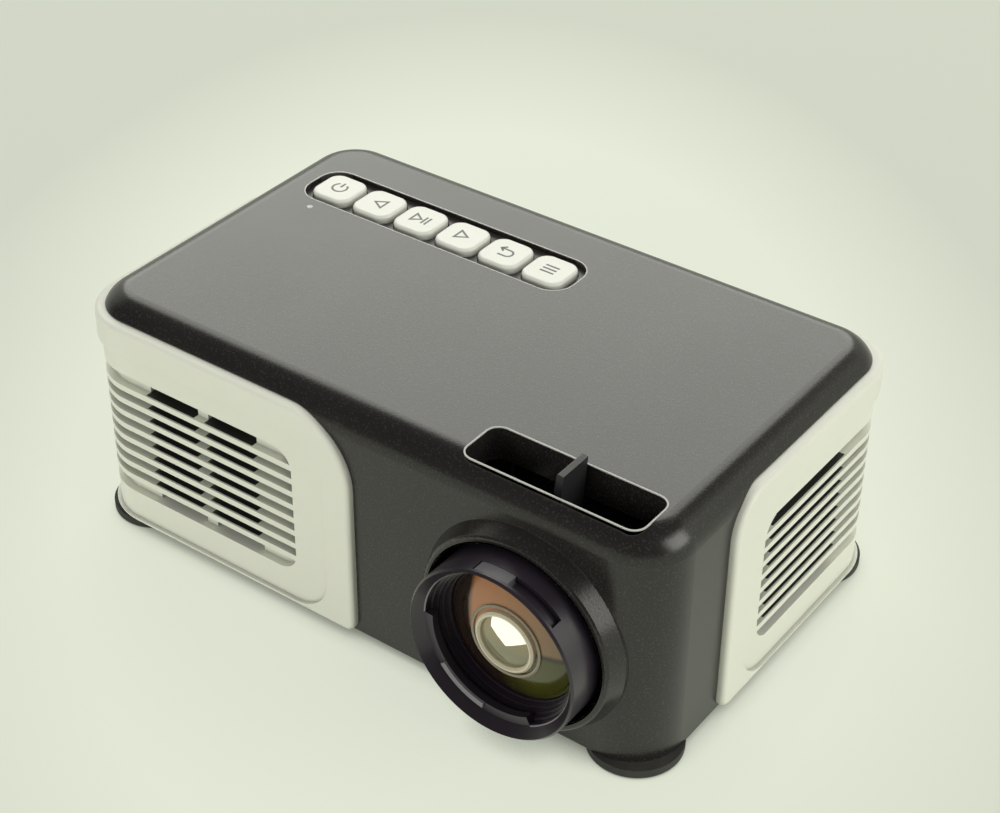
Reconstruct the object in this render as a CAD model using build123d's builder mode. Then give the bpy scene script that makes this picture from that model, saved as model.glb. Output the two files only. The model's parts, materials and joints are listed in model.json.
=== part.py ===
"""Pocket LED projector: a dark shell with two white louvred side covers, six sprung
keys, a focus lever that drives the lens barrel in and out, and the light engine,
fan, boards and sockets inside.  Millimetres, +Z up, the lens looks along -Y."""
from build123d import *
from math import asin, cos, radians, sin
import os

os.makedirs("parts", exist_ok=True)

# ---------------------------------------------------------------- driving dimensions
# dark shell
BODY_W = 126.0            # width across the dark shell
BODY_D = 76.7             # depth of the dark shell
BODY_H = 47.8             # height of the shell above its bottom edge
PLAN_R = 10.0             # corner radius seen from above
SHOULDER_R = 5.5          # rounded edge all round the top
WALL = 2.6                # side walls of the shell
TOP_WALL = 2.6            # top wall of the shell
FOOT_H = 2.0              # gap between the shell and the table

# white side covers
RIM_PROUD = 1.4           # raised rim of a cover beyond the dark wall
PANEL_PROUD = 0.6         # sunk middle of a cover beyond the dark wall
COVER_SEAT = 1.3          # depth of the seat in the dark wall
COVER_TOP = 44.6          # top edge of a cover
COVER_END_X = 0.9         # where the cover ends on the long side
COVER_END_Y = 17.0        # where the cover ends on the short side
COVER_ARC_LONG = 13.3     # arc at the top of the long end
COVER_ARC_SHORT = 8.0     # arc at the top of the short end
COVER_TOE_R = 2.0         # arc at the bottom of either end
RIM_BAND = 5.75           # width of the raised rim
PANEL_LOW = 1.0           # bottom of the sunk middle
RIM_ROUND = 0.9           # rounded outer edge of the rim
SEAM = 0.15               # gap between a cover and the dark shell
SEAT_BAND = 4.0           # width of the seat round a window
LOUVRE_LOW = 6.9          # lowest edge of the louvre field
LOUVRE_HIGH = 34.1        # highest edge of the louvre field
LOUVRE_END_X = -12.6      # end of the field on the long side
LOUVRE_END_Y = 5.9        # end of the field on the short side
LOUVRE_CORNER = 4.2       # corners of the field
BAR_COUNT = 8             # white bars
BAR_PITCH = 2.92
BAR_W = 1.2
GROOVE_DEPTH = 1.6
SLIT_COLUMNS = ((-47.5, -35.8), (-33.3, -21.8))    # open stretches of each groove, long side
SLIT_SIDE = (-22.0, 3.0)                           # open stretch, short side

# keys
KEY_COUNT = 6
KEY_PITCH = 10.05
KEY_ROW_SIDE = 39.45      # middle of the row from the shell's left side
KEY_ROW_REAR = 19.55      # and from its rear face
KEY_SIZE = 8.9
KEY_R = 2.6
KEY_GAP = 0.2             # cap to hole
KEY_RISE = 1.5            # top of the caps above the tray floor
KEY_TRAVEL = 0.6
KEY_FLANGE = 0.42         # flange beyond the cap, each side
KEY_FLANGE_T = 0.8
KEY_STEM_R = 1.6
TRAY_W = 62.8
TRAY_D = 12.2
TRAY_DEPTH = 1.2
TRAY_R = 4.5
DOT_SIDE = 14.0           # status light from the shell's left side
DOT_AHEAD = 8.7           # and in front of the key row
DOT_R = 0.6

# lens and focus
LENS_SIDE = 25.8          # optical axis from the shell's right side
LENS_Z = 20.5             # and above its bottom edge
LENS_PROUD = 9.75         # front of the lens beyond the dark wall
BOSS_PROUD = 3.35         # lip round the lens opening
BOSS_LIP = 1.2            # wall of the lip at its tip
BOSS_FLARE = 1.4          # how much wider the lip is at its root
HOOD_R = 16.6             # front cup of the barrel
HOOD_GAP = 1.1            # cup to opening
HOOD_L = 10.7             # length of the cup
TUBE_R = 13.5             # rear tube of the barrel
TUBE_L = 23.9
BARREL_WALL = 1.3
RING_FACE = 1.9           # width of the front ring's sloped face
RING_SLOPE = 2.0          # how far that face slopes inwards
NOTCH_ARC = (45.0, 104.0)          # bayonet notch in the ring, degrees round from +X
LUG_ARC = (80.0, 103.0)            # lug of the barrel that stands in the notch
COLLAR_ARC = (177.5, 298.5)        # stretch where the ring is wider inside
CATCH_ARC = (218.0, 260.0)         # pale catch on that stretch
GLASS_R = 13.0            # front element
RUN_FIT = 0.08            # radial clearance of the running fits
LEVER_REST = 6.0          # lean of the lever at rest, degrees to the right
LEVER_REACH = 29.8        # tip of the lever from the optical axis
LEVER_T = 1.3
LEVER_ROOT_T = 2.2
FOCUS_RING_L = 8.7
FOCUS_RING_T = 3.0
KEYWAY_W = 3.0
KEYWAY_DEPTH = 0.7
SLOT_SHIFT = 2.15         # middle of the focus slot, right of the axis
SLOT_W = 35.0
SLOT_L = 10.3
SLOT_IN = 2.45            # front of the slot from the shell's front face
SLOT_R = 2.5
SLOT_SKIRT = 1.2

# inside
BASE_T = 2.2              # base plate
BASE_GAP = 0.1            # base plate to shell
POST_R = 2.9              # screw posts of the shell
POST_SIDE = 7.0           # posts from the shell's sides
POST_END = 8.15           # and from its front and rear
FOOT_SIDE = 7.5
FOOT_END = 7.55
FOOT_R = 8.6
FOOT_POCKET = 0.5
FOOT_SPIGOT_R = 3.6
BOX_HALF = 16.2           # optical box, each side of the axis
BOX_WALL = 1.5
BOX_IN = 26.35            # front wall of the box from the shell's front face
BOX_L = 36.0
PLATE_GAP = 0.1
SCREW_R = 1.1
HEAD_R = 2.0
HEAD_T = 1.1
TRIPOD_R = 2.55           # wall of the 1/4 inch thread, drawn at its core
TRIPOD_OUT_R = 4.2
TRIPOD_L = 8.0
TRIPOD_Y = -4.0
FAN_SIZE = 30.0
FAN_T = 6.8
FAN_BACK = 12.0           # middle of the fan ahead of the box's rear
FAN_BLADES = 7
BOARD_T = 1.6
BOARD_Z = 8.0
SOCKET_FLOOR = BOARD_Z + BOARD_T

SOCKET_GAP = 0.3
KEY_POST_OUT = 1.6        # screw posts beyond the ends of the tray
KEY_POST_R = 2.2
KEY_SCREW_L = 5.0
KEY_AIR = 0.1
KEY_SOFT = 0.6
KEY_NAMES = ("power_key", "left_key", "play_key", "right_key", "back_key", "menu_key")
SWITCH_W = 4.5
SWITCH_H = 1.5
SWITCH_RISE = 0.6
CORNER_POST_TOP = 36.0
POST_HOLE = 9.0
SLOT_SKIRT_H = 4.0
RING_DEPTH = 3.4          # front ring, front to back
RING_EDGE = 0.4
LUG_T = 1.2
LUG_L = 2.4
COLLAR_DEEP = 1.6         # how much further in the wide stretch reaches
CATCH_T = 0.5
LENS_FIT = 0.05
LENS_EDGE = 1.5           # edge thickness of the glass
REAR_SEAT = 2.0           # rear glass to the end of the tube
REAR_RISE = 1.8
REAR_RING_W = 1.5
SPACER_T = 1.2
MIDDLE_T = 2.4
MIDDLE_GAP = 3.0          # middle glass to the front glass
MIDDLE_DISH = 1.0
BAFFLE_STEPS = 4
BAFFLE_RISE = 0.4
FRONT_RISE = 2.6          # dome of the front element
FRONT_HOLLOW = 0.8        # hollow of its rear face
BOARD_SIDE = 11.0         # main board from the shell's left side
BOARD_AIR = 5.0           # and to the optical box
BOARD_END = 4.35          # and from the shell's rear face
BOARD_L = 31.0
BOARD_POST_R = 2.4
BOARD_POST_IN = 4.0       # posts in from three edges of the board
BOARD_POST_BACK = 14.0    # and from its rear edge, clear of the sockets
BOARD_SCREW_L = 5.6
SPEAKER_SIDE = 28.4       # speaker from the shell's left side
SPEAKER_IN = 2.75         # and behind the shell's front face
SPEAKER_W = 30.0
SPEAKER_H = 24.0
SPEAKER_T = 5.0
SPEAKER_CONE = 2.0        # depth of the hollow in its frame
SPEAKER_EDGE = 2.0
SPEAKER_R = 4.0           # corners of its frame
SPEAKER_MAGNET = 8.0      # radius
SPEAKER_MAGNET_L = 4.0
CONE_PAPER = 0.6
DUST_CAP_R = 4.8
DUST_CAP_H = 0.8
RIB_T = 2.0
TRIPOD_BOSS = 1.6
INLET_SIDE = 41.0
INLET_Y = 8.0
INLET_PITCH = 4.0
INLET_COUNT = 9
INLET_L = 24.0
INLET_W = 1.8
# sockets in the rear wall: middle from the shell's left side, width, height
SOCKET_SIDES = {"hdmi_socket": (53.5, 15.0, 5.8), "usb_socket": (38.0, 13.2, 6.4),
                "audio_socket": (26.5, 6.6, 6.6), "power_socket": (16.5, 9.0, 9.0)}
SOCKET_BORES = {"audio_socket": 1.8, "power_socket": 2.75}
SOCKET_BACK = 2.0         # closed rear end
SOCKET_PIN_R = 0.65
TONGUE_T = 1.2            # tongue with the contacts
TONGUE_IN = 1.0           # tongue and pin behind the socket's mouth
SOCKET_L = 12.0
SOCKET_SKIN = 0.5
PLATES = {"field_lens": (7.0, 1.5), "lcd_panel": (13.5, 2.0), "fresnel_lens": (19.0, 1.5),
          "heat_glass": (23.0, 1.2)}         # front face behind the front of the box, thickness
FOCUS_AIR = 0.6           # focus ring to the front wall
LEVER_L = 7.0
PLATE_TONGUE = 0.6        # how far a plate sits in the side walls
PLATE_CLEAR = 14.0        # half the clear picture in the front wall
FLANGE_T = 2.0
HOUSING_WALL = 1.9
HOUSING_PITCH = 13.6
LED_PITCH = 12.5
FAN_BORE = 14.2
FAN_PITCH = 12.8
HUB_R = 6.5
BLADE_L = 6.0
BLADE_T = 0.8
BLADE_PITCH = 32.0
FAN_STRUT = 1.2
FAN_PIN = 1.0
FAN_AIR = 0.3             # rotor to the struts and to the open end
FAN_STRUT_W = 1.6
FAN_STRUTS = 3
# places on the board from its left and front edges, or from its right edge when negative
CHIPS = ((18.0, 11.0, 14.0, 14.0, 1.6), (36.0, 11.0, 9.0, 12.0, 1.2), (7.5, 10.5, 5.0, 5.0, 1.4),
         (-12.0, 12.0, 6.0, 6.0, 3.0))          # place, width, depth, height
CAPACITORS = ((-20.0, 6.0), (-10.5, 4.0), (-11.0, 22.0))
CAP_R = 3.1
CAP_H = 7.0
LED_T = 1.6
LED_HALF = 15.0
LED_CHIP = 5.0
CONE_T = 0.8
SINK_BASE = 2.5
SINK_DEEP = 9.2
SINK_HALF = 15.6
SINK_FINS = 9
FIN_T = 1.0

# derived places
HALF_W = BODY_W / 2
HALF_D = BODY_D / 2
FRONT_REACH = HALF_D + LENS_PROUD
REAR_REACH = HALF_D + RIM_PROUD
BODY_Y = (FRONT_REACH - REAR_REACH) / 2        # the body sits back, so the whole is centred
LENS_X = HALF_W - LENS_SIDE
KEY_ROW_X = KEY_ROW_SIDE - HALF_W
KEY_ROW_Y = HALF_D - KEY_ROW_REAR
KEY_POST_SPAN = TRAY_W + 2 * KEY_POST_OUT
DOT_X = DOT_SIDE - HALF_W
DOT_Y = KEY_ROW_Y - DOT_AHEAD
SLOT_X = LENS_X + SLOT_SHIFT
SLOT_FRONT = SLOT_IN - HALF_D
SLOT_REAR = SLOT_FRONT + SLOT_L
POST_X = HALF_W - POST_SIDE
POST_Y = HALF_D - POST_END
FOOT_X = HALF_W - FOOT_SIDE
FOOT_Y = HALF_D - FOOT_END
BOX_FRONT = BOX_IN - HALF_D
BOX_REAR = BOX_FRONT + BOX_L
FAN_Y = BOX_REAR - FAN_BACK
BOARD_LEFT = BOARD_SIDE - HALF_W
BOARD_RIGHT = LENS_X - BOX_HALF - BOARD_AIR
BOARD_BACK = HALF_D - BOARD_END
BOARD_FRONT = BOARD_BACK - BOARD_L
SPEAKER_X = SPEAKER_SIDE - HALF_W
SPEAKER_FRONT = HALF_D - SPEAKER_IN            # forward of the body's middle
INLET_X = INLET_SIDE - HALF_W
SOCKETS = {name: (side - HALF_W, width, height)
           for name, (side, width, height) in SOCKET_SIDES.items()}
TRAY_FLOOR = BODY_H - TRAY_DEPTH
INNER_TOP = BODY_H - TOP_WALL
OPEN_R = HOOD_R + HOOD_GAP
KEY_BOARD_TOP = INNER_TOP - KEY_FLANGE_T - 2 * KEY_AIR - KEY_TRAVEL - SWITCH_H - SWITCH_RISE - 0.8
SWITCH_TOP = KEY_BOARD_TOP + SWITCH_H + SWITCH_RISE
BOX_FLOOR = BASE_T + BOX_WALL
PLATE_HIGH = 2 * (LENS_Z - BOX_FLOOR)
BOX_TOP = 2 * LENS_Z - BASE_T
FAN_X = LENS_X + BOX_HALF + PLATE_GAP + FAN_T / 2
BAR_MID = (LOUVRE_LOW + LOUVRE_HIGH) / 2
OUTSIDE = 12.0                                 # how far cutters reach outside the body
LEG_REACH = PLAN_R + 2                         # how deep a cover's leg reaches round a corner

TOP = Plane((0, BODY_Y, FOOT_H), x_dir=(1, 0, 0), z_dir=(0, 0, 1))
FRONT = Plane((0, BODY_Y, FOOT_H), x_dir=(1, 0, 0), z_dir=(0, -1, 0))
SIDE = Plane((0, BODY_Y, FOOT_H), x_dir=(0, 1, 0), z_dir=(1, 0, 0))
LENS = Plane((LENS_X, BODY_Y, FOOT_H + LENS_Z), x_dir=(1, 0, 0), z_dir=(0, -1, 0))
LENS_CUT = Plane((LENS_X, BODY_Y, FOOT_H + LENS_Z), x_dir=(0, -1, 0), z_dir=(-1, 0, 0))
LENS_AXIS = Axis((LENS_X, BODY_Y, FOOT_H + LENS_Z), (0, -1, 0))
BODY_AXIS = Axis((0, BODY_Y, 0), (0, 0, 1))
written = []


# ---------------------------------------------------------------- shared shapes
def save(name, piece):
    """Label a finished piece and write it as its own file."""
    piece.label = name
    export_step(piece, f"parts/{name}.step")
    written.append(name)


def body_plan(inset, mode=Mode.ADD):
    """The body's rounded outline from above, drawn inside the dark wall's face."""
    RectangleRounded(BODY_W - 2 * inset, BODY_D - 2 * inset, PLAN_R - inset, mode=mode)


def wall_ring(outer, inner):
    """A band that follows the body's outline between two insets."""
    body_plan(outer)
    body_plan(inner, Mode.SUBTRACT)


def leg_outline(plane, end, arc, shrink):
    """One leg of a cover seen square on, from far outside to its rounded end."""
    right = end - shrink
    high = COVER_TOP - shrink
    low = max(shrink, 0)
    far = -HALF_W - OUTSIDE
    top_arc = arc - shrink
    toe_arc = max(COVER_TOE_R - shrink, COVER_TOE_R / 4)
    with BuildSketch(plane) as outline:
        with BuildLine():
            Polyline((right - toe_arc, low), (far, low), (far, high), (right - top_arc, high))
            CenterArc((right - top_arc, high - top_arc), top_arc, 0, 90)
            Line((right, high - top_arc), (right, low + toe_arc))
            CenterArc((right - toe_arc, low + toe_arc), toe_arc, 270, 90)
        make_face()
    return outline.sketch


def cover_zone(shrink):
    """Both legs of the left cover as one block; a negative shrink grows it."""
    long_leg = leg_outline(FRONT.offset(HALF_D - LEG_REACH), COVER_END_X, COVER_ARC_LONG, shrink)
    short_leg = leg_outline(SIDE.offset(-HALF_W - OUTSIDE), COVER_END_Y, COVER_ARC_SHORT, shrink)
    with BuildPart() as zone:
        extrude(long_leg, amount=LEG_REACH + OUTSIDE)
        extrude(short_leg, amount=LEG_REACH + OUTSIDE)
    return zone.part


def field_block(low, high, end_x, end_y, corner):
    """A block over both legs of a cover that ends in rounded corners."""
    width = HALF_W + OUTSIDE
    middle = (low + high) / 2
    with BuildPart() as block:
        with BuildSketch(FRONT.offset(HALF_D - LEG_REACH)):
            with Locations((end_x - width / 2, middle)):
                RectangleRounded(width, high - low, corner)
        extrude(amount=LEG_REACH + OUTSIDE)
        with BuildSketch(SIDE.offset(-HALF_W - OUTSIDE)):
            with Locations((end_y - width / 2, middle)):
                RectangleRounded(width, high - low, corner)
        extrude(amount=LEG_REACH + OUTSIDE)
    return block.part


def on_rim(edge):
    """True for an outer edge of a cover's rim that is not its flat bottom."""
    spot = edge @ 0.5
    past_x = abs(spot.X) - (HALF_W - PLAN_R)
    past_y = abs(spot.Y - BODY_Y) - (HALF_D - PLAN_R)
    reach = (max(past_x, 0) ** 2 + max(past_y, 0) ** 2) ** 0.5
    tangent = min(abs(past_x), abs(past_y)) < 0.01
    return reach > PLAN_R + RIM_PROUD - 0.01 and spot.Z > FOOT_H + 0.01 and not tangent


def turned(*points):
    """A solid of revolution about the optical axis from (forward, radius) points."""
    with BuildPart() as body:
        with BuildSketch(LENS_CUT):
            with BuildLine():
                Polyline(*points, close=True)
            make_face()
        revolve(axis=LENS_AXIS)
    return body.part


def spun(plane, angle):
    """The same plane turned about its own normal."""
    return Plane(plane.location * Rotation(0, 0, angle))


def sector(start, end):
    """A pie slice round the optical axis between two angles."""
    far = HOOD_R * 3
    middle = (start + end) / 2
    with BuildSketch() as slice_of:
        with BuildLine():
            Polyline((0, 0), *[(far * cos(radians(angle)), far * sin(radians(angle)))
                               for angle in (start, middle, end)], close=True)
        make_face()
    return slice_of.sketch_local


def lens_face(edge, radius, rise):
    """Curve of a lens face from its rim to the optical axis."""
    if rise == 0:
        return Line((edge, radius), (edge, 0))
    ball = (radius ** 2 + rise ** 2) / (2 * abs(rise))
    side = 1 if rise > 0 else -1
    half = asin(radius / ball) / 2
    middle = edge + rise - side * ball + side * ball * cos(half)
    return ThreePointArc((edge, radius), (middle, ball * sin(half)), (edge + rise, 0))


def lens_element(front, rear, radius, front_rise, rear_rise):
    """A lens about the optical axis; its rises move its faces forwards."""
    with BuildPart() as glass:
        with BuildSketch(LENS_CUT):
            with BuildLine():
                lens_face(front, radius, front_rise)
                Line((front + front_rise, 0), (rear + rear_rise, 0))
                lens_face(rear, radius, rear_rise)
                Line((rear, radius), (front, radius))
            make_face()
        revolve(axis=LENS_AXIS)
    return glass.part


def on_board(x, y):
    """A place on the main board, x from its left edge or, when negative, from its right edge."""
    return (BOARD_LEFT if x > 0 else BOARD_RIGHT) + x, BOARD_FRONT + y


def screws(plane, places, length):
    """Pan head screws: shanks along the plane's normal, heads behind the plane."""
    with BuildPart() as group:
        with BuildSketch(plane):
            with Locations(*places):
                Circle(HEAD_R)
        extrude(amount=-HEAD_T)
        with BuildSketch(plane):
            with Locations(*places):
                Circle(SCREW_R)
        extrude(amount=length)
    return group.part


# ---------------------------------------------------------------- cutters for the covers
with BuildPart() as seat_cutter:
    with BuildSketch(TOP.offset(-OUTSIDE)):
        wall_ring(-OUTSIDE / 2, COVER_SEAT)
    extrude(amount=BODY_H + OUTSIDE)
    add(cover_zone(-SEAM), mode=Mode.INTERSECT)

with BuildPart() as window_cutter:
    with BuildSketch(TOP):
        wall_ring(-OUTSIDE / 2, WALL + 1)
    extrude(amount=BODY_H)
    add(cover_zone(SEAT_BAND), mode=Mode.INTERSECT)

with BuildPart() as panel_cutter:
    with BuildSketch(TOP):
        wall_ring(-OUTSIDE / 2, -PANEL_PROUD)
    extrude(amount=BODY_H)
    add(field_block(PANEL_LOW, COVER_TOP - RIM_BAND, COVER_END_X - RIM_BAND,
                    COVER_END_Y - RIM_BAND, COVER_ARC_SHORT), mode=Mode.INTERSECT)

bar_edges = [LOUVRE_LOW]
for bar in range(BAR_COUNT):
    bar_z = BAR_MID + (bar - (BAR_COUNT - 1) / 2) * BAR_PITCH
    bar_edges += [bar_z - BAR_W / 2, bar_z + BAR_W / 2]
bar_edges.append(LOUVRE_HIGH)
grooves = list(zip(bar_edges[0::2], bar_edges[1::2]))

with BuildPart() as slit_columns:
    for start, end in SLIT_COLUMNS:
        with BuildSketch(FRONT.offset(HALF_D - LEG_REACH)):
            with Locations(((start + end) / 2, BAR_MID)):
                Rectangle(end - start, LOUVRE_HIGH - LOUVRE_LOW)
        extrude(amount=LEG_REACH + OUTSIDE)
    with BuildSketch(SIDE.offset(-HALF_W - OUTSIDE)):
        with Locations((sum(SLIT_SIDE) / 2, BAR_MID)):
            Rectangle(SLIT_SIDE[1] - SLIT_SIDE[0], LOUVRE_HIGH - LOUVRE_LOW)
    extrude(amount=LEG_REACH + OUTSIDE)

with BuildPart() as groove_cutter:
    for low, high in grooves:
        with BuildSketch(TOP.offset(low)):
            wall_ring(-OUTSIDE / 2, GROOVE_DEPTH - PANEL_PROUD)
        extrude(amount=high - low)
    add(field_block(LOUVRE_LOW, LOUVRE_HIGH, LOUVRE_END_X, LOUVRE_END_Y, LOUVRE_CORNER),
        mode=Mode.INTERSECT)

with BuildPart() as slit_cutter:
    for low, high in grooves:
        with BuildSketch(TOP.offset(low)):
            wall_ring(-OUTSIDE / 2, WALL + 1)
        extrude(amount=high - low)
    add(slit_columns.part, mode=Mode.INTERSECT)

# ---------------------------------------------------------------- side covers
with BuildPart() as window_tongue:
    with BuildSketch(TOP):
        wall_ring(0, WALL)
    extrude(amount=BODY_H)
    add(cover_zone(SEAT_BAND + SEAM), mode=Mode.INTERSECT)

with BuildPart() as left_cover:
    with BuildSketch(TOP):
        wall_ring(-RIM_PROUD, COVER_SEAT)
    extrude(amount=BODY_H)
    add(cover_zone(0), mode=Mode.INTERSECT)
    fillet(left_cover.edges().filter_by(on_rim), RIM_ROUND)
    add(panel_cutter.part, mode=Mode.SUBTRACT)
    add(window_tongue.part)
    add(groove_cutter.part, mode=Mode.SUBTRACT)
    add(slit_cutter.part, mode=Mode.SUBTRACT)
save("left_cover", left_cover.part)
save("right_cover", left_cover.part.rotate(BODY_AXIS, 180))

# ---------------------------------------------------------------- top shell
key_places = [(KEY_ROW_X + (key - (KEY_COUNT - 1) / 2) * KEY_PITCH, KEY_ROW_Y)
              for key in range(KEY_COUNT)]
post_places = [(-POST_X, -POST_Y), (-POST_X, POST_Y), (POST_X, POST_Y)]
corner_post = (POST_X, -POST_Y)
key_posts = [(KEY_ROW_X - KEY_POST_SPAN / 2, KEY_ROW_Y), (KEY_ROW_X + KEY_POST_SPAN / 2, KEY_ROW_Y)]
boss_root = OPEN_R + BOSS_LIP + BOSS_FLARE
boss_tip = OPEN_R + BOSS_LIP
slot_middle = (SLOT_X, (SLOT_FRONT + SLOT_REAR) / 2)
slot_deep = SLOT_REAR - SLOT_FRONT

with BuildPart() as top_shell:
    with BuildSketch(TOP):
        body_plan(0)
    extrude(amount=BODY_H)
    fillet(top_shell.edges().group_by(Axis.Z)[-1], SHOULDER_R)
    add(turned((HALF_D - WALL, 0), (HALF_D - WALL, boss_root), (HALF_D, boss_root),
               (HALF_D + BOSS_PROUD, boss_tip), (HALF_D + BOSS_PROUD, 0)))
    fillet(top_shell.edges().filter_by(GeomType.CIRCLE).sort_by(Axis.Y)[0], BOSS_LIP * 0.6)
    with BuildSketch(TOP):
        body_plan(WALL)
    extrude(amount=INNER_TOP, mode=Mode.SUBTRACT)
    # screw posts, and the short one under the focus slot with its web into the corner
    with BuildSketch(TOP.offset(BASE_T)):
        with Locations(*post_places):
            Circle(POST_R)
    extrude(amount=INNER_TOP - BASE_T)
    with BuildSketch(TOP.offset(BASE_T)):
        with Locations(corner_post):
            Circle(POST_R)
        with Locations((POST_X + POST_R * 0.6, -POST_Y - POST_R * 0.6)):
            Rectangle(POST_R, POST_R * 1.4, rotation=45)
    extrude(amount=CORNER_POST_TOP - BASE_T)
    with BuildSketch(TOP.offset(BASE_T)):
        with Locations(*post_places, corner_post):
            Circle(SCREW_R)
    extrude(amount=POST_HOLE, mode=Mode.SUBTRACT)
    with BuildSketch(TOP.offset(KEY_BOARD_TOP)):
        with Locations(*key_posts):
            Circle(KEY_POST_R)
    extrude(amount=INNER_TOP - KEY_BOARD_TOP)
    with BuildSketch(TOP.offset(KEY_BOARD_TOP)):
        with Locations(*key_posts):
            Circle(SCREW_R)
    extrude(amount=KEY_SCREW_L - BOARD_T, mode=Mode.SUBTRACT)
    # walls round the focus slot, then the slot itself
    with BuildSketch(TOP.offset(INNER_TOP - SLOT_SKIRT_H)):
        with Locations(slot_middle):
            RectangleRounded(SLOT_W + 2 * SLOT_SKIRT, slot_deep + 2 * SLOT_SKIRT, SLOT_R + SLOT_SKIRT)
    extrude(amount=SLOT_SKIRT_H)
    with BuildSketch(TOP.offset(INNER_TOP - SLOT_SKIRT_H)):
        with Locations(slot_middle):
            RectangleRounded(SLOT_W, slot_deep, SLOT_R)
    extrude(amount=SLOT_SKIRT_H + OUTSIDE, mode=Mode.SUBTRACT)
    # lens opening
    add(turned((0, 0), (0, OPEN_R), (FRONT_REACH, OPEN_R), (FRONT_REACH, 0)), mode=Mode.SUBTRACT)
    # key tray, key holes and the status light's hole
    with BuildSketch(TOP.offset(TRAY_FLOOR)):
        with Locations((KEY_ROW_X, KEY_ROW_Y)):
            RectangleRounded(TRAY_W, TRAY_D, TRAY_R)
    extrude(amount=TRAY_DEPTH + 1, mode=Mode.SUBTRACT)
    with BuildSketch(TOP.offset(INNER_TOP - 1)):
        with Locations(*key_places):
            RectangleRounded(KEY_SIZE + 2 * KEY_GAP, KEY_SIZE + 2 * KEY_GAP, KEY_R + KEY_GAP)
        with Locations((DOT_X, DOT_Y)):
            Circle(DOT_R)
    extrude(amount=OUTSIDE, mode=Mode.SUBTRACT)
    # seats and windows for the covers, sockets in the rear wall
    for turn in (0, 180):
        add(seat_cutter.part.rotate(BODY_AXIS, turn), mode=Mode.SUBTRACT)
        add(window_cutter.part.rotate(BODY_AXIS, turn), mode=Mode.SUBTRACT)
    for centre, width, height in SOCKETS.values():
        with BuildSketch(FRONT.offset(-HALF_D - 1)):
            with Locations((centre, SOCKET_FLOOR + height / 2)):
                RectangleRounded(width + 2 * SOCKET_GAP, height + 2 * SOCKET_GAP, SOCKET_GAP)
        extrude(amount=WALL + 2, mode=Mode.SUBTRACT)
save("top_shell", top_shell.part)

# ---------------------------------------------------------------- base plate and feet
corners = {"front_left_foot": (-1, -1), "front_right_foot": (1, -1),
           "rear_left_foot": (-1, 1), "rear_right_foot": (1, 1)}
fan_low = LENS_Z - FAN_SIZE / 2
speaker_low = LENS_Z - SPEAKER_H / 2
board_centre = ((BOARD_LEFT + BOARD_RIGHT) / 2, (BOARD_FRONT + BOARD_BACK) / 2)
board_posts = [(x, y) for x in (BOARD_LEFT + BOARD_POST_IN, BOARD_RIGHT - BOARD_POST_IN)
               for y in (BOARD_FRONT + BOARD_POST_IN, BOARD_BACK - BOARD_POST_BACK)]

with BuildPart() as base_plate:
    with BuildSketch(TOP):
        body_plan(WALL + BASE_GAP)
    extrude(amount=BASE_T)
    with BuildSketch(TOP.offset(BASE_T)):
        with Locations(*board_posts):
            Circle(BOARD_POST_R)
    extrude(amount=BOARD_Z - BASE_T)
    with BuildSketch(TOP.offset(BASE_T)):
        with Locations(*board_posts):
            Circle(SCREW_R)
    extrude(amount=BOARD_Z - BASE_T, mode=Mode.SUBTRACT)
    # ribs that carry the speaker and the fan
    with BuildSketch(TOP.offset(BASE_T)):
        with Locations((SPEAKER_X - SPEAKER_W / 3, -SPEAKER_FRONT + SPEAKER_T / 2),
                       (SPEAKER_X + SPEAKER_W / 3, -SPEAKER_FRONT + SPEAKER_T / 2)):
            Rectangle(RIB_T * 2, SPEAKER_T)
    extrude(amount=speaker_low - BASE_T)
    with BuildSketch(TOP.offset(BASE_T)):
        with Locations((FAN_X, FAN_Y - FAN_SIZE / 3), (FAN_X, FAN_Y + FAN_SIZE / 3)):
            Rectangle(FAN_T, RIB_T)
    extrude(amount=fan_low - BASE_T)
    # tripod boss, its hole, the foot pockets and the screw holes
    with BuildSketch(TOP.offset(BASE_T)):
        with Locations((0, TRIPOD_Y)):
            Circle(TRIPOD_OUT_R + TRIPOD_BOSS)
    extrude(amount=TRIPOD_L - BASE_T + TRIPOD_BOSS)
    with BuildSketch(TOP):
        with Locations((0, TRIPOD_Y)):
            Circle(TRIPOD_OUT_R)
    extrude(amount=TRIPOD_L, mode=Mode.SUBTRACT)
    with BuildSketch(TOP):
        with Locations(*post_places, corner_post):
            Circle(FOOT_SPIGOT_R + BASE_GAP)
    extrude(amount=FOOT_POCKET, mode=Mode.SUBTRACT)
    with BuildSketch(TOP.offset(FOOT_POCKET)):
        with Locations(*post_places, corner_post):
            Circle(HEAD_R + BASE_GAP)
    extrude(amount=HEAD_T, mode=Mode.SUBTRACT)
    with BuildSketch(TOP):
        with Locations(*post_places, corner_post):
            Circle(SCREW_R + BASE_GAP)
    extrude(amount=BASE_T, mode=Mode.SUBTRACT)
    # air inlet slots
    with BuildSketch(TOP):
        with Locations((INLET_X, INLET_Y)):
            with GridLocations(INLET_PITCH, 0, INLET_COUNT, 1):
                SlotOverall(INLET_L, INLET_W, rotation=90)
    extrude(amount=BASE_T, mode=Mode.SUBTRACT)
save("base_plate", base_plate.part)

for name, (side, end) in corners.items():
    with BuildPart() as foot:
        with BuildSketch(TOP):
            with Locations((side * FOOT_X, end * FOOT_Y)):
                Circle(FOOT_R)
        extrude(amount=-FOOT_H)
        fillet(foot.edges().group_by(Axis.Z)[0], FOOT_H / 3)
        with BuildSketch(TOP):
            with Locations((side * POST_X, end * POST_Y)):
                Circle(FOOT_SPIGOT_R)
        extrude(amount=FOOT_POCKET)
    save(name, foot.part)

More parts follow.
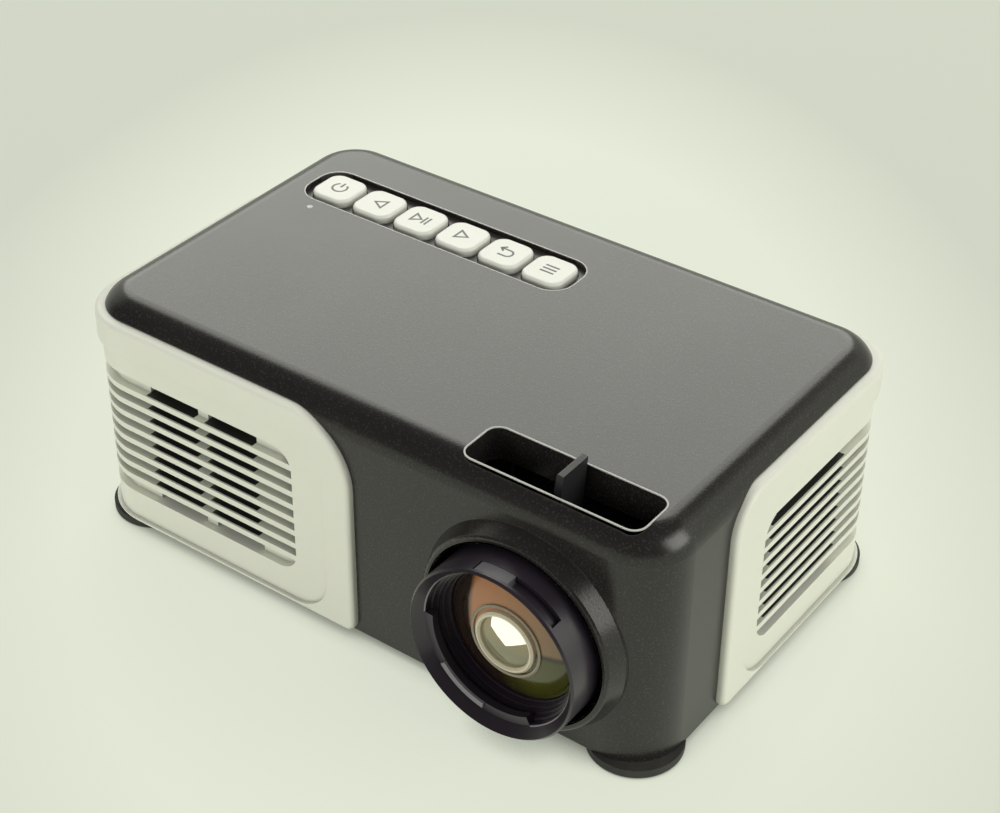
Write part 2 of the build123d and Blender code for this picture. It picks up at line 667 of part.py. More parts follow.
with BuildPart() as tripod_insert:
    with BuildSketch(TOP):
        with Locations((0, TRIPOD_Y)):
            Circle(TRIPOD_OUT_R)
            Circle(TRIPOD_R, mode=Mode.SUBTRACT)
    extrude(amount=TRIPOD_L)
save("tripod_insert", tripod_insert.part)

save("case_screws", screws(TOP.offset(FOOT_POCKET + HEAD_T), [*post_places, corner_post], POST_HOLE - 1))

# ---------------------------------------------------------------- keys and key board
key_top = TRAY_FLOOR + KEY_RISE
flange_top = INNER_TOP - KEY_AIR
for name, place in zip(KEY_NAMES, key_places):
    with BuildPart() as key:
        with BuildSketch(TOP.offset(flange_top)):
            with Locations(place):
                RectangleRounded(KEY_SIZE, KEY_SIZE, KEY_R)
        extrude(amount=key_top - flange_top)
        fillet(key.edges().group_by(Axis.Z)[-1], KEY_SOFT)
        with BuildSketch(TOP.offset(flange_top)):
            with Locations(place):
                RectangleRounded(KEY_SIZE + 2 * KEY_FLANGE, KEY_SIZE + 2 * KEY_FLANGE, KEY_R + KEY_FLANGE)
        extrude(amount=-KEY_FLANGE_T)
        with BuildSketch(TOP.offset(flange_top - KEY_FLANGE_T)):
            with Locations(place):
                Circle(KEY_STEM_R)
        extrude(amount=SWITCH_TOP + KEY_TRAVEL + KEY_AIR - flange_top + KEY_FLANGE_T)
    save(name, key.part)

with BuildPart() as key_board:
    with BuildSketch(TOP.offset(KEY_BOARD_TOP)):
        with Locations((KEY_ROW_X, KEY_ROW_Y)):
            Rectangle(KEY_POST_SPAN + 3 * KEY_POST_R, KEY_SIZE)
    extrude(amount=-BOARD_T)
    with BuildSketch(TOP.offset(KEY_BOARD_TOP)):
        with Locations(*key_posts):
            Circle(SCREW_R)
    extrude(amount=-BOARD_T, mode=Mode.SUBTRACT)
save("key_board", key_board.part)

with BuildPart() as key_switches:
    with BuildSketch(TOP.offset(KEY_BOARD_TOP)):
        with Locations(*key_places):
            Rectangle(SWITCH_W, SWITCH_W)
    extrude(amount=SWITCH_H)
    with BuildSketch(TOP.offset(KEY_BOARD_TOP + SWITCH_H)):
        with Locations(*key_places):
            Circle(SWITCH_W / 4)
    extrude(amount=SWITCH_TOP - KEY_BOARD_TOP - SWITCH_H)
save("key_switches", key_switches.part)
save("key_screws", screws(TOP.offset(KEY_BOARD_TOP - BOARD_T), key_posts, KEY_SCREW_L - 1))

with BuildPart() as status_light:
    with BuildSketch(TOP.offset(INNER_TOP)):
        with Locations((DOT_X, DOT_Y)):
            Circle(DOT_R)
    extrude(amount=TOP_WALL)
    with BuildSketch(TOP.offset(INNER_TOP)):
        with Locations((DOT_X, DOT_Y)):
            Circle(DOT_R * 2)
    extrude(amount=-DOT_R * 2)
save("status_light", status_light.part)

# ---------------------------------------------------------------- lens barrel and what it holds
hood_rear = FRONT_REACH - HOOD_L
tube_rear = hood_rear - TUBE_L
ring_rear = FRONT_REACH - RING_DEPTH
cup_bore = HOOD_R - RING_FACE
tube_bore = TUBE_R - BARREL_WALL
glass_rear = hood_rear + BARREL_WALL
seat_front = glass_rear + LENS_EDGE
seat_bore = GLASS_R + LENS_FIT
with BuildPart() as lens_barrel:
    add(turned((tube_rear, tube_bore), (tube_rear, TUBE_R), (hood_rear, TUBE_R), (hood_rear, HOOD_R),
               (ring_rear, HOOD_R), (ring_rear, cup_bore), (seat_front, cup_bore),
               (seat_front, seat_bore), (glass_rear, seat_bore), (glass_rear, tube_bore)))
    for side in (0, 180):
        with BuildSketch(spun(LENS, side).offset(tube_rear)):
            with Locations((TUBE_R, 0)):
                Rectangle(2 * KEYWAY_DEPTH, KEYWAY_W)
        extrude(amount=TUBE_L, mode=Mode.SUBTRACT)
    # the lug that stands in the front ring's notch
    with BuildSketch(LENS.offset(ring_rear)):
        Circle(HOOD_R - LENS_FIT)
        Circle(HOOD_R - LUG_T, mode=Mode.SUBTRACT)
        add(sector(*LUG_ARC), mode=Mode.INTERSECT)
    extrude(amount=LUG_L)
save("lens_barrel", lens_barrel.part)

ring_lip = FRONT_REACH - RING_SLOPE
with BuildPart() as front_ring:
    add(turned((ring_rear, cup_bore), (ring_rear, HOOD_R), (FRONT_REACH - RING_EDGE, HOOD_R),
               (FRONT_REACH, HOOD_R - RING_EDGE), (ring_lip, cup_bore)))
    with BuildSketch(LENS.offset(ring_rear)):
        Circle(cup_bore + RING_EDGE)
        Circle(cup_bore - COLLAR_DEEP, mode=Mode.SUBTRACT)
        add(sector(*COLLAR_ARC), mode=Mode.INTERSECT)
    extrude(amount=ring_lip - ring_rear)
    with BuildSketch(LENS.offset(ring_rear)):
        Circle(HOOD_R + 1)
        Circle(HOOD_R - LUG_T - LENS_FIT, mode=Mode.SUBTRACT)
        add(sector(*NOTCH_ARC), mode=Mode.INTERSECT)
    extrude(amount=LUG_L + LENS_FIT, mode=Mode.SUBTRACT)
save("front_ring", front_ring.part)

with BuildPart() as ring_catch:
    with BuildSketch(LENS.offset(ring_lip)):
        Circle(cup_bore - CATCH_T)
        Circle(cup_bore - COLLAR_DEEP, mode=Mode.SUBTRACT)
        add(sector(*CATCH_ARC), mode=Mode.INTERSECT)
    extrude(amount=CATCH_T)
save("ring_catch", ring_catch.part)

with BuildPart() as front_lens:
    add(lens_element(seat_front, glass_rear, GLASS_R, FRONT_RISE, FRONT_HOLLOW))
save("front_lens", front_lens.part)

# stepped cone in front of the glass, under the wide stretch of the ring
baffle_front = ring_rear
baffle_step = (baffle_front - seat_front) / BAFFLE_STEPS
baffle_points = [(baffle_front, cup_bore - LENS_FIT), (seat_front, cup_bore - LENS_FIT)]
for step in range(BAFFLE_STEPS):
    bore = GLASS_R + step * BAFFLE_RISE
    baffle_points += [(seat_front + step * baffle_step, bore), (seat_front + (step + 1) * baffle_step, bore)]
with BuildPart() as hood_baffle:
    add(turned(*baffle_points))
save("hood_baffle", hood_baffle.part)

spacer_rear = tube_rear + REAR_SEAT + LENS_EDGE
with BuildPart() as rear_lens:
    add(lens_element(spacer_rear, tube_rear + REAR_SEAT, tube_bore - SPACER_T, REAR_RISE, 0))
    add(turned((tube_rear + REAR_SEAT, 0), (tube_rear + REAR_SEAT, tube_bore), (spacer_rear, tube_bore),
               (spacer_rear, 0)))
save("rear_lens", rear_lens.part)

middle_rear = glass_rear - MIDDLE_GAP - MIDDLE_T
with BuildPart() as lens_spacer:
    add(turned((spacer_rear, tube_bore - SPACER_T), (spacer_rear, tube_bore),
               (middle_rear, tube_bore), (middle_rear, tube_bore - SPACER_T)))
save("lens_spacer", lens_spacer.part)

with BuildPart() as middle_lens:
    add(lens_element(middle_rear + MIDDLE_T, middle_rear, tube_bore, -MIDDLE_DISH, 0))
save("middle_lens", middle_lens.part)

with BuildPart() as rear_ring:
    add(turned((tube_rear, tube_bore - REAR_RING_W), (tube_rear, tube_bore), (tube_rear + REAR_SEAT, tube_bore),
               (tube_rear + REAR_SEAT, tube_bore - REAR_RING_W)))
save("rear_ring", rear_ring.part)

# ---------------------------------------------------------------- focus ring and lever
focus_front = HALF_D - WALL - FOCUS_AIR
focus_rear = focus_front - FOCUS_RING_L
with BuildPart() as focus_ring:
    add(turned((focus_rear, TUBE_R + RUN_FIT), (focus_rear, TUBE_R + FOCUS_RING_T),
               (focus_front, TUBE_R + FOCUS_RING_T), (focus_front, TUBE_R + RUN_FIT)))
    for side in (0, 180):
        with BuildSketch(spun(LENS, side).offset(focus_rear)):
            with Locations((TUBE_R - (KEYWAY_DEPTH - RUN_FIT - 1) / 2, 0)):
                Rectangle(KEYWAY_DEPTH - RUN_FIT + 1, KEYWAY_W - 2 * KEY_GAP)
        extrude(amount=FOCUS_RING_L)
    # the lever, thinner towards its tip
    with BuildSketch(spun(LENS, -LEVER_REST).offset(focus_rear)):
        with BuildLine():
            root = TUBE_R + FOCUS_RING_T / 2
            Polyline((-LEVER_ROOT_T / 2, root), (LEVER_ROOT_T / 2, root),
                     (LEVER_T / 2, LEVER_REACH), (-LEVER_T / 2, LEVER_REACH), close=True)
        make_face()
    extrude(amount=LEVER_L)
    fillet(focus_ring.edges().group_by(Axis.Z)[-1], LEVER_T * 0.3)
save("focus_ring", focus_ring.part)

# ---------------------------------------------------------------- lens housing and optical box
housing_bore = TUBE_R + RUN_FIT
housing_front = focus_rear - PLATE_GAP
flange_front = -BOX_FRONT + FLANGE_T
housing_corners = [(x, z) for x in (-1, 1) for z in (-1, 1)]
housing_screw_places = [(x * HOUSING_PITCH, z * HOUSING_PITCH) for x, z in housing_corners]
with BuildPart() as lens_housing:
    add(turned((-BOX_FRONT, housing_bore), (-BOX_FRONT, housing_bore + HOUSING_WALL),
               (housing_front, housing_bore + HOUSING_WALL), (housing_front, housing_bore)))
    with BuildSketch(LENS.offset(-BOX_FRONT)):
        RectangleRounded(2 * BOX_HALF, BOX_TOP - BASE_T, 2)
        Circle(housing_bore, mode=Mode.SUBTRACT)
        with Locations(*housing_screw_places):
            Circle(SCREW_R + PLATE_GAP, mode=Mode.SUBTRACT)
    extrude(amount=FLANGE_T)
save("lens_housing", lens_housing.part)
# screws drive rearwards into the box, so their plane faces the rear
REARWARD = Plane((LENS_X, BODY_Y - flange_front, FOOT_H + LENS_Z), x_dir=(1, 0, 0), z_dir=(0, 1, 0))
save("housing_screws", screws(REARWARD, housing_screw_places, FLANGE_T + BOX_WALL))

led_screw_places = [(x * LED_PITCH, z * LED_PITCH) for x, z in housing_corners]
with BuildPart() as optical_box:
    with BuildSketch(TOP.offset(BASE_T)):
        with Locations((LENS_X, (BOX_FRONT + BOX_REAR) / 2)):
            Rectangle(2 * BOX_HALF, BOX_REAR - BOX_FRONT)
    extrude(amount=BOX_TOP - BOX_WALL - BASE_T)
    with BuildSketch(TOP.offset(BOX_FLOOR)):
        with Locations((LENS_X, (BOX_FRONT + BOX_REAR) / 2)):
            Rectangle(2 * (BOX_HALF - BOX_WALL), BOX_REAR - BOX_FRONT - 2 * BOX_WALL)
    extrude(amount=BOX_TOP, mode=Mode.SUBTRACT)
    with BuildSketch(TOP.offset(BOX_FLOOR)):
        for place, thick in PLATES.values():
            with Locations((LENS_X, BOX_FRONT + place + thick / 2)):
                Rectangle(2 * (BOX_HALF - BOX_WALL + PLATE_TONGUE), thick + 2 * PLATE_GAP)
    extrude(amount=BOX_TOP, mode=Mode.SUBTRACT)
    with BuildSketch(LENS.offset(-BOX_FRONT - BOX_WALL)):
        Circle(TUBE_R + 1)
        with Locations(*housing_screw_places):
            Circle(SCREW_R)
    extrude(amount=BOX_WALL, mode=Mode.SUBTRACT)
    with BuildSketch(LENS.offset(-BOX_REAR)):
        Rectangle(2 * LED_CHIP + 2, 2 * LED_CHIP + 2)
        with Locations(*led_screw_places):
            Circle(SCREW_R)
    extrude(amount=BOX_WALL, mode=Mode.SUBTRACT)
save("optical_box", optical_box.part)

with BuildPart() as optical_lid:
    with BuildSketch(TOP.offset(BOX_TOP - BOX_WALL)):
        with Locations((LENS_X, (BOX_FRONT + BOX_REAR) / 2)):
            Rectangle(2 * BOX_HALF, BOX_REAR - BOX_FRONT)
    extrude(amount=BOX_WALL)
save("optical_lid", optical_lid.part)

for name, (place, thick) in PLATES.items():
    with BuildPart() as plate:
        with BuildSketch(LENS.offset(-BOX_FRONT - place - thick)):
            Rectangle(2 * (BOX_HALF - BOX_WALL + PLATE_TONGUE - PLATE_GAP), PLATE_HIGH)
        extrude(amount=thick)
    save(name, plate.part)

cone_front = -BOX_FRONT - sum(PLATES["heat_glass"]) - 2 * PLATE_GAP
cone_rear = BOX_WALL - BOX_REAR
wide = BOX_HALF - BOX_WALL - PLATE_GAP
with BuildPart() as light_cone:
    for mode, skin in ((Mode.ADD, 0), (Mode.SUBTRACT, CONE_T)):
        with BuildSketch(LENS.offset(cone_rear)):
            Rectangle(2 * (LED_CHIP + 1 + CONE_T - skin), 2 * (LED_CHIP + 1 + CONE_T - skin))
        with BuildSketch(LENS.offset(cone_front)):
            Rectangle(2 * (wide - skin), PLATE_HIGH - 2 * skin)
        loft(mode=mode)
save("light_cone", light_cone.part)

with BuildPart() as led_board:
    with BuildSketch(LENS.offset(-BOX_REAR)):
        Rectangle(2 * LED_HALF, 2 * LED_HALF)
        with Locations(*led_screw_places):
            Circle(SCREW_R, mode=Mode.SUBTRACT)
    extrude(amount=-LED_T)
    with BuildSketch(LENS.offset(-BOX_REAR)):
        Rectangle(2 * LED_CHIP, 2 * LED_CHIP)
    extrude(amount=BOX_WALL * 0.8)
save("led_board", led_board.part)

sink_face = -BOX_REAR - LED_T
with BuildPart() as heat_sink:
    with BuildSketch(LENS.offset(sink_face)):
        Rectangle(2 * SINK_HALF, 2 * SINK_HALF)
        with Locations(*led_screw_places):
            Circle(SCREW_R, mode=Mode.SUBTRACT)
    extrude(amount=-SINK_BASE)
    with BuildSketch(LENS.offset(sink_face - SINK_BASE)):
        with GridLocations(0, (2 * SINK_HALF - FIN_T) / (SINK_FINS - 1), 1, SINK_FINS):
            Rectangle(2 * SINK_HALF, FIN_T)
        with Locations(*led_screw_places):
            Circle(HEAD_R + PLATE_GAP, mode=Mode.SUBTRACT)
    extrude(amount=SINK_BASE - SINK_DEEP)
save("heat_sink", heat_sink.part)
save("sink_screws", screws(LENS.offset(sink_face - SINK_BASE), led_screw_places,
                           SINK_BASE + LED_T + BOX_WALL - PLATE_GAP))

# ---------------------------------------------------------------- fan
FAN = Plane((FAN_X, BODY_Y + FAN_Y, FOOT_H + LENS_Z), x_dir=(0, 1, 0), z_dir=(1, 0, 0))
fan_corners = [(y * FAN_PITCH, z * FAN_PITCH) for y in (-1, 1) for z in (-1, 1)]
with BuildPart() as fan_frame:
    with BuildSketch(FAN.offset(-FAN_T / 2)):
        RectangleRounded(FAN_SIZE, FAN_SIZE, 2)
        Circle(FAN_BORE, mode=Mode.SUBTRACT)
        with Locations(*fan_corners):
            Circle(SCREW_R, mode=Mode.SUBTRACT)
    extrude(amount=FAN_T)
    with BuildSketch(FAN.offset(-FAN_T / 2)):
        Circle(HUB_R)
        with PolarLocations((FAN_BORE + HUB_R) / 2, FAN_STRUTS):
            Rectangle(FAN_BORE - HUB_R + 1, FAN_STRUT_W)
    extrude(amount=FAN_STRUT)
    with BuildSketch(FAN.offset(-FAN_T / 2)):
        Circle(FAN_PIN)
    extrude(amount=FAN_T - 1)
save("fan_frame", fan_frame.part)

rotor_low = -FAN_T / 2 + FAN_STRUT + FAN_AIR
with BuildPart() as fan_rotor:
    with BuildSketch(FAN.offset(rotor_low)):
        Circle(HUB_R)
    extrude(amount=FAN_T - FAN_STRUT - 2 * FAN_AIR)
    for blade in range(FAN_BLADES):
        turn = spun(FAN, blade * 360 / FAN_BLADES)
        root = Plane(turn.origin, x_dir=turn.y_dir, z_dir=turn.x_dir).offset(HUB_R - 0.5)
        with BuildSketch(root):
            with Locations((0, FAN_STRUT / 2)):
                Rectangle(BLADE_L, BLADE_T, rotation=BLADE_PITCH)
        extrude(amount=FAN_BORE - HUB_R)
    with BuildSketch(FAN.offset(rotor_low)):
        Circle(FAN_PIN + RUN_FIT)
    extrude(amount=FAN_T, mode=Mode.SUBTRACT)
save("fan_rotor", fan_rotor.part)

# ---------------------------------------------------------------- main board and sockets
with BuildPart() as main_board:
    with BuildSketch(TOP.offset(BOARD_Z)):
        with Locations(board_centre):
            Rectangle(BOARD_RIGHT - BOARD_LEFT, BOARD_BACK - BOARD_FRONT)
        with Locations(*board_posts):
            Circle(SCREW_R, mode=Mode.SUBTRACT)
    extrude(amount=BOARD_T)
save("main_board", main_board.part)
save("board_screws", screws(Plane((0, BODY_Y, FOOT_H + BOARD_Z + BOARD_T), x_dir=(1, 0, 0), z_dir=(0, 0, -1)),
                            [(x, -y) for x, y in board_posts], BOARD_SCREW_L))

with BuildPart() as chips:
    for x, y, width, depth, height in CHIPS:
        with BuildSketch(TOP.offset(BOARD_Z + BOARD_T)):
            with Locations(on_board(x, y)):
                Rectangle(width, depth)
        extrude(amount=height)
save("chips", chips.part)

with BuildPart() as capacitors:
    with BuildSketch(TOP.offset(BOARD_Z + BOARD_T)):
        with Locations(*[on_board(x, y) for x, y in CAPACITORS]):
            Circle(CAP_R)
    extrude(amount=CAP_H)
save("capacitors", capacitors.part)

mouth = HALF_D - SOCKET_SKIN
for name, (centre, width, height) in SOCKETS.items():
    with BuildPart() as socket:
        with BuildSketch(FRONT.offset(-mouth)):
            with Locations((centre, SOCKET_FLOOR + height / 2)):
                Rectangle(width, height)
        extrude(amount=SOCKET_L)
        if name not in SOCKET_BORES:
            with BuildSketch(FRONT.offset(-mouth)):
                with Locations((centre, SOCKET_FLOOR + height / 2)):
                    Rectangle(width - 2 * SOCKET_SKIN, height - 2 * SOCKET_SKIN)
            extrude(amount=SOCKET_L - SOCKET_BACK, mode=Mode.SUBTRACT)
            with BuildSketch(FRONT.offset(TONGUE_IN - mouth)):
                with Locations((centre, SOCKET_FLOOR + height * 0.55)):
                    Rectangle(width - 6 * SOCKET_SKIN, TONGUE_T)
            extrude(amount=SOCKET_L - SOCKET_BACK)
        else:
            with BuildSketch(FRONT.offset(-mouth)):
                with Locations((centre, SOCKET_FLOOR + height / 2)):
                    Circle(SOCKET_BORES[name])
            extrude(amount=SOCKET_L - SOCKET_BACK, mode=Mode.SUBTRACT)
            if name == "power_socket":
                with BuildSketch(FRONT.offset(TONGUE_IN - mouth)):
                    with Locations((centre, SOCKET_FLOOR + height / 2)):
                        Circle(SOCKET_PIN_R)
                extrude(amount=SOCKET_L - SOCKET_BACK)
    save(name, socket.part)

# ---------------------------------------------------------------- speaker
SPEAKER = Plane((SPEAKER_X, BODY_Y - SPEAKER_FRONT, FOOT_H + LENS_Z), x_dir=(1, 0, 0), z_dir=(0, -1, 0))
with BuildPart() as speaker_frame:
    with BuildSketch(SPEAKER):
        RectangleRounded(SPEAKER_W, SPEAKER_H, SPEAKER_R)
    extrude(amount=-SPEAKER_T)
    with BuildSketch(SPEAKER):
        Ellipse(SPEAKER_W / 2 - SPEAKER_EDGE, SPEAKER_H / 2 - SPEAKER_EDGE)
    extrude(amount=-SPEAKER_CONE, mode=Mode.SUBTRACT)
    with BuildSketch(SPEAKER.offset(-SPEAKER_T)):
        Circle(SPEAKER_MAGNET)
    extrude(amount=-SPEAKER_MAGNET_L)
save("speaker_frame", speaker_frame.part)

with BuildPart() as speaker_cone:
    with BuildSketch(SPEAKER.offset(-SPEAKER_CONE)):
        Ellipse(SPEAKER_W / 2 - SPEAKER_EDGE, SPEAKER_H / 2 - SPEAKER_EDGE)
    extrude(amount=CONE_PAPER)
    with BuildSketch(SPEAKER.offset(CONE_PAPER - SPEAKER_CONE)):
        Circle(DUST_CAP_R)
    extrude(amount=DUST_CAP_H, taper=30)
save("speaker_cone", speaker_cone.part)

print(len(written), "pieces")
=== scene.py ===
"""Looks of a pocket LED projector: finishes for every CAD piece, printed key signs, the coated
optics' reflections painted in the lens, painted edge highlights, the studio and the camera."""
import json
import math

import bmesh
import bpy
from bpy.props import FloatProperty, FloatVectorProperty, PointerProperty
from mathutils import Matrix, Vector


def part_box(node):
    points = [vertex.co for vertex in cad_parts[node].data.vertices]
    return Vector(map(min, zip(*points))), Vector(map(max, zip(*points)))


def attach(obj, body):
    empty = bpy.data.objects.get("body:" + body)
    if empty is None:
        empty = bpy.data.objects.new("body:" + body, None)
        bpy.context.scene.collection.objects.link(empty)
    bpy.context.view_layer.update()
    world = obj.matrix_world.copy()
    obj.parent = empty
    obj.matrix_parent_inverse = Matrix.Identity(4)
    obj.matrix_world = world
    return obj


bl_info = {
    "name": "Pocket projector looks",
    "version": (1, 0, 0),
    "blender": (4, 5, 0),
    "location": "View3D > Sidebar > Projector",
    "description": "Dresses the projector's frame with finishes, signs and optics",
    "category": "Object",
}

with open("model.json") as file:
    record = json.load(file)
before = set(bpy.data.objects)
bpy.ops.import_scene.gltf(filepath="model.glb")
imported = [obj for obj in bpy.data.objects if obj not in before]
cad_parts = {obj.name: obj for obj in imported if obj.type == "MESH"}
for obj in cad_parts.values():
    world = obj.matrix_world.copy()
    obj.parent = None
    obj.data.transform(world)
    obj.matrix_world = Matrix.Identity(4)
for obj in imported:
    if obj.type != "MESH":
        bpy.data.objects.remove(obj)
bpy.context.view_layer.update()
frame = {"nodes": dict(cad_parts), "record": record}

MM = 0.001
HOUSING = "housing"
LENS_BODY = "lens_group"
KEYS = ("power_key", "left_key", "play_key", "right_key", "back_key", "menu_key")


# ------------------------------------------------------------------ places read from the frame
def middle(node):
    low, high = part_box(node)
    return (Vector(low) + Vector(high)) / 2


def low_of(node):
    return Vector(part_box(node)[0])


def high_of(node):
    return Vector(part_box(node)[1])


SHELL_LOW, SHELL_HIGH = low_of("top_shell"), high_of("top_shell")
LENS_MID = middle("front_ring")
LENS_FRONT = low_of("front_ring").y
LAMP_MID = middle("led_board")
HALF_W, HALF_D = 63.0 * MM, 38.35 * MM
BODY_Y = high_of("top_shell").y - HALF_D
BODY_MID = Vector((0, BODY_Y, SHELL_LOW.z))
PANEL_PROUD = 0.6 * MM
LOUVRE_LOW, LOUVRE_HIGH = 6.9 * MM, 34.1 * MM
SLIT_COLUMNS = ((-47.5 * MM, -35.8 * MM), (-33.3 * MM, -21.8 * MM))
SLIT_SIDE = (-22.0 * MM, 3.0 * MM)
SLIT_SKIN = 0.35 * MM
SLOT_MID, SLOT_SIZE, SLOT_R = (39.35 * MM, -30.75 * MM), (35.0 * MM, 10.3 * MM), 2.5 * MM
TRAY_MID, TRAY_SIZE, TRAY_R = (-23.55 * MM, 18.8 * MM), (62.8 * MM, 12.2 * MM), 4.5 * MM
CUP_R, RING_LIP, MOUTH_R = 14.7 * MM, 2.0 * MM, 17.7 * MM
PANEL_ROW = 0.25 * MM


# ------------------------------------------------------------------ shader maths
class Signal:
    """A socket that can be added, multiplied and compared in Python."""

    def __init__(self, finish, socket):
        self.finish = finish
        self.socket = socket

    def _math(self, operation, other=None, swap=False):
        pair = [self] if other is None else [self, other]
        if swap:
            pair.reverse()
        return self.finish.node("ShaderNodeMath", {"operation": operation}, *pair).out()

    def __add__(self, other):
        return self._math("ADD", other)

    __radd__ = __add__

    def __sub__(self, other):
        return self._math("SUBTRACT", other)

    def __rsub__(self, other):
        return self._math("SUBTRACT", other, swap=True)

    def __mul__(self, other):
        return self._math("MULTIPLY", other)

    __rmul__ = __mul__

    def __truediv__(self, other):
        return self._math("DIVIDE", other)

    def __gt__(self, other):
        return self._math("GREATER_THAN", other)

    def __lt__(self, other):
        return self._math("LESS_THAN", other)

    def clamped(self):
        return self.finish.node("ShaderNodeClamp", {}, self).out()


class Step:
    """One shader node, with its outputs as signals."""

    def __init__(self, finish, node):
        self.finish = finish
        self.node = node

    def out(self, name=0):
        return Signal(self.finish, self.node.outputs[name])


class Finish:
    """A node material built round one Principled shader."""

    def __init__(self, name, base, rough, **constants):
        self.material = bpy.data.materials.new(name)
        self.material.use_nodes = True
        self.tree = self.material.node_tree
        self.shader = self.tree.nodes["Principled BSDF"]
        self.shader.inputs["Base Color"].default_value = (*base, 1)
        self.shader.inputs["Roughness"].default_value = rough
        for socket, value in constants.items():
            self.shader.inputs[socket.replace("_", " ")].default_value = value

    def node(self, kind, settings, *inputs, **named):
        """Adds a node: its settings first, then the values or links of its sockets."""
        made = self.tree.nodes.new(kind)
        for setting, value in settings.items():
            setattr(made, setting, value)
        for index, value in enumerate(inputs):
            self._feed(made.inputs[index], value)
        for socket, value in named.items():
            self._feed(made.inputs[socket.replace("_", " ")], value)
        return Step(self, made)

    def _feed(self, socket, value):
        if isinstance(value, Signal):
            self.tree.links.new(value.socket, socket)
        else:
            socket.default_value = value

    def feed(self, socket, value):
        self._feed(self.shader.inputs[socket], value)

    def place(self):
        """Object coordinates, in metres."""
        return self.node("ShaderNodeTexCoord", {}).out("Object")

    def noise(self, scale, detail=2.0, rough=0.5):
        return self.node("ShaderNodeTexNoise", {}, Vector=self.place(), Scale=scale,
                         Detail=detail, Roughness=rough).out("Fac")

    def blend(self, factor, dark, light):
        """A colour between two colours."""
        mix = self.node("ShaderNodeMix", {"data_type": "RGBA"})
        self._feed(mix.node.inputs[0], factor)
        for index, colour in ((6, dark), (7, light)):
            plain = not isinstance(colour, Signal)
            self._feed(mix.node.inputs[index], (*colour, 1) if plain else colour)
        return mix.out(2)

    def bump(self, height, depth, strength=1.0):
        """Feeds the Normal from a height in metres."""
        bump = self.node("ShaderNodeBump", {}, Strength=strength, Distance=depth, Height=height)
        self.feed("Normal", bump.out("Normal"))


class Backdrop(Finish):
    """The node tree of a world, built with the same tools."""

    def __init__(self, world):
        world.use_nodes = True
        self.tree = world.node_tree
        self.shader = self.tree.nodes["Background"]


def tone(colour, share):
    """A colour made darker or lighter by a share."""
    return tuple(min(max(part * share, 0), 1) for part in colour)


def moulded(name, base, rough, grain=1800, depth=0.00001, spread=0.06, **constants):
    """Moulded plastic: a fine spark-eroded grain, a little mottling and uneven gloss."""
    finish = Finish(name, base, rough, **constants)
    cloud = finish.noise(60, 3)
    finish.feed("Base Color", finish.blend(cloud, tone(base, 1 - spread), tone(base, 1 + spread)))
    finish.feed("Roughness", rough - 0.05 + cloud * 0.1)
    finish.bump(finish.noise(grain, 2, 0.6), depth)
    return finish


def brushed(name, base, rough, along):
    """Brushed or drawn metal with fine lines along one axis."""
    finish = Finish(name, base, rough, Metallic=1.0)
    stretch = [900.0, 900.0, 900.0]
    stretch["XYZ".index(along)] = 20.0
    lines = finish.node("ShaderNodeMapping", {}, Vector=finish.place(), Scale=stretch).out()
    streak = finish.node("ShaderNodeTexNoise", {}, Vector=lines, Scale=1.0, Detail=2.0).out("Fac")
    finish.feed("Base Color", finish.blend(streak, tone(base, 0.8), tone(base, 1.1)))
    finish.feed("Roughness", rough + streak * 0.15)
    finish.bump(streak, 0.000004)
    return finish


# ------------------------------------------------------------------ finishes of the CAD pieces
def edge_highlight(finish, body_colour, edge_colour, width):
    """Painted highlights along the edges, broken into patches by noise, found by how a small bevel
    would turn them.
    """
    soft = finish.node("ShaderNodeBevel", {"samples": 4}, Radius=width).out()
    flat = finish.node("ShaderNodeNewGeometry", {}).out("Normal")
    turn = finish.node("ShaderNodeVectorMath", {"operation": "DOT_PRODUCT"},
                       soft, flat).out("Value")
    # lighter colour along the edges: painted highlight
    edge_light = ((1 - turn) * 6).clamped() * finish.noise(220, 2)
    finish.feed("Base Color", finish.blend(edge_light.clamped(), body_colour, edge_colour))


def shell_finish(name, settings):
    """Dark satin shell: fine light specks in a spark-eroded grain, a painted reflection on the key
    tray and painted highlights along its edges.
    """
    base = tuple(settings.shell_colour)
    finish = Finish(name, base, settings.shell_gloss, IOR=1.5)
    cloud = finish.noise(45, 3)
    speck = (finish.noise(2600, 1, 0.4) > 0.62) * 0.55
    spot = finish.node("ShaderNodeSeparateXYZ", {}, finish.place())
    # the key tray's floor and walls are painted lighter and rougher: a painted reflection
    left = TRAY_MID[0] - TRAY_SIZE[0] / 2
    tray = ((spot.out("Z") > SHELL_HIGH.z - 4 * MM) * (spot.out("Z") < SHELL_HIGH.z - 0.25 * MM)
            * (spot.out("X") > left) * (spot.out("X") < left + TRAY_SIZE[0])
            * (spot.out("Y") > BODY_Y + TRAY_MID[1] - TRAY_SIZE[1] / 2)
            * (spot.out("Y") < BODY_Y + TRAY_MID[1] + TRAY_SIZE[1] / 2))
    paint = finish.blend(cloud, tone(base, 0.85), tone(base, 1.2))
    specked = finish.blend(speck, paint, tone(base, 2.6))
    # the shell's edges get a painted highlight
    edge_highlight(finish, finish.blend(tray, specked, tone(base, 3.2)), tone(base, 4.0), 0.0004)
    finish.feed("Roughness", settings.shell_gloss - 0.04 + cloud * 0.1 + tray * 0.12)
    finish.bump(finish.noise(2100, 2, 0.7), 0.000018)
    return finish


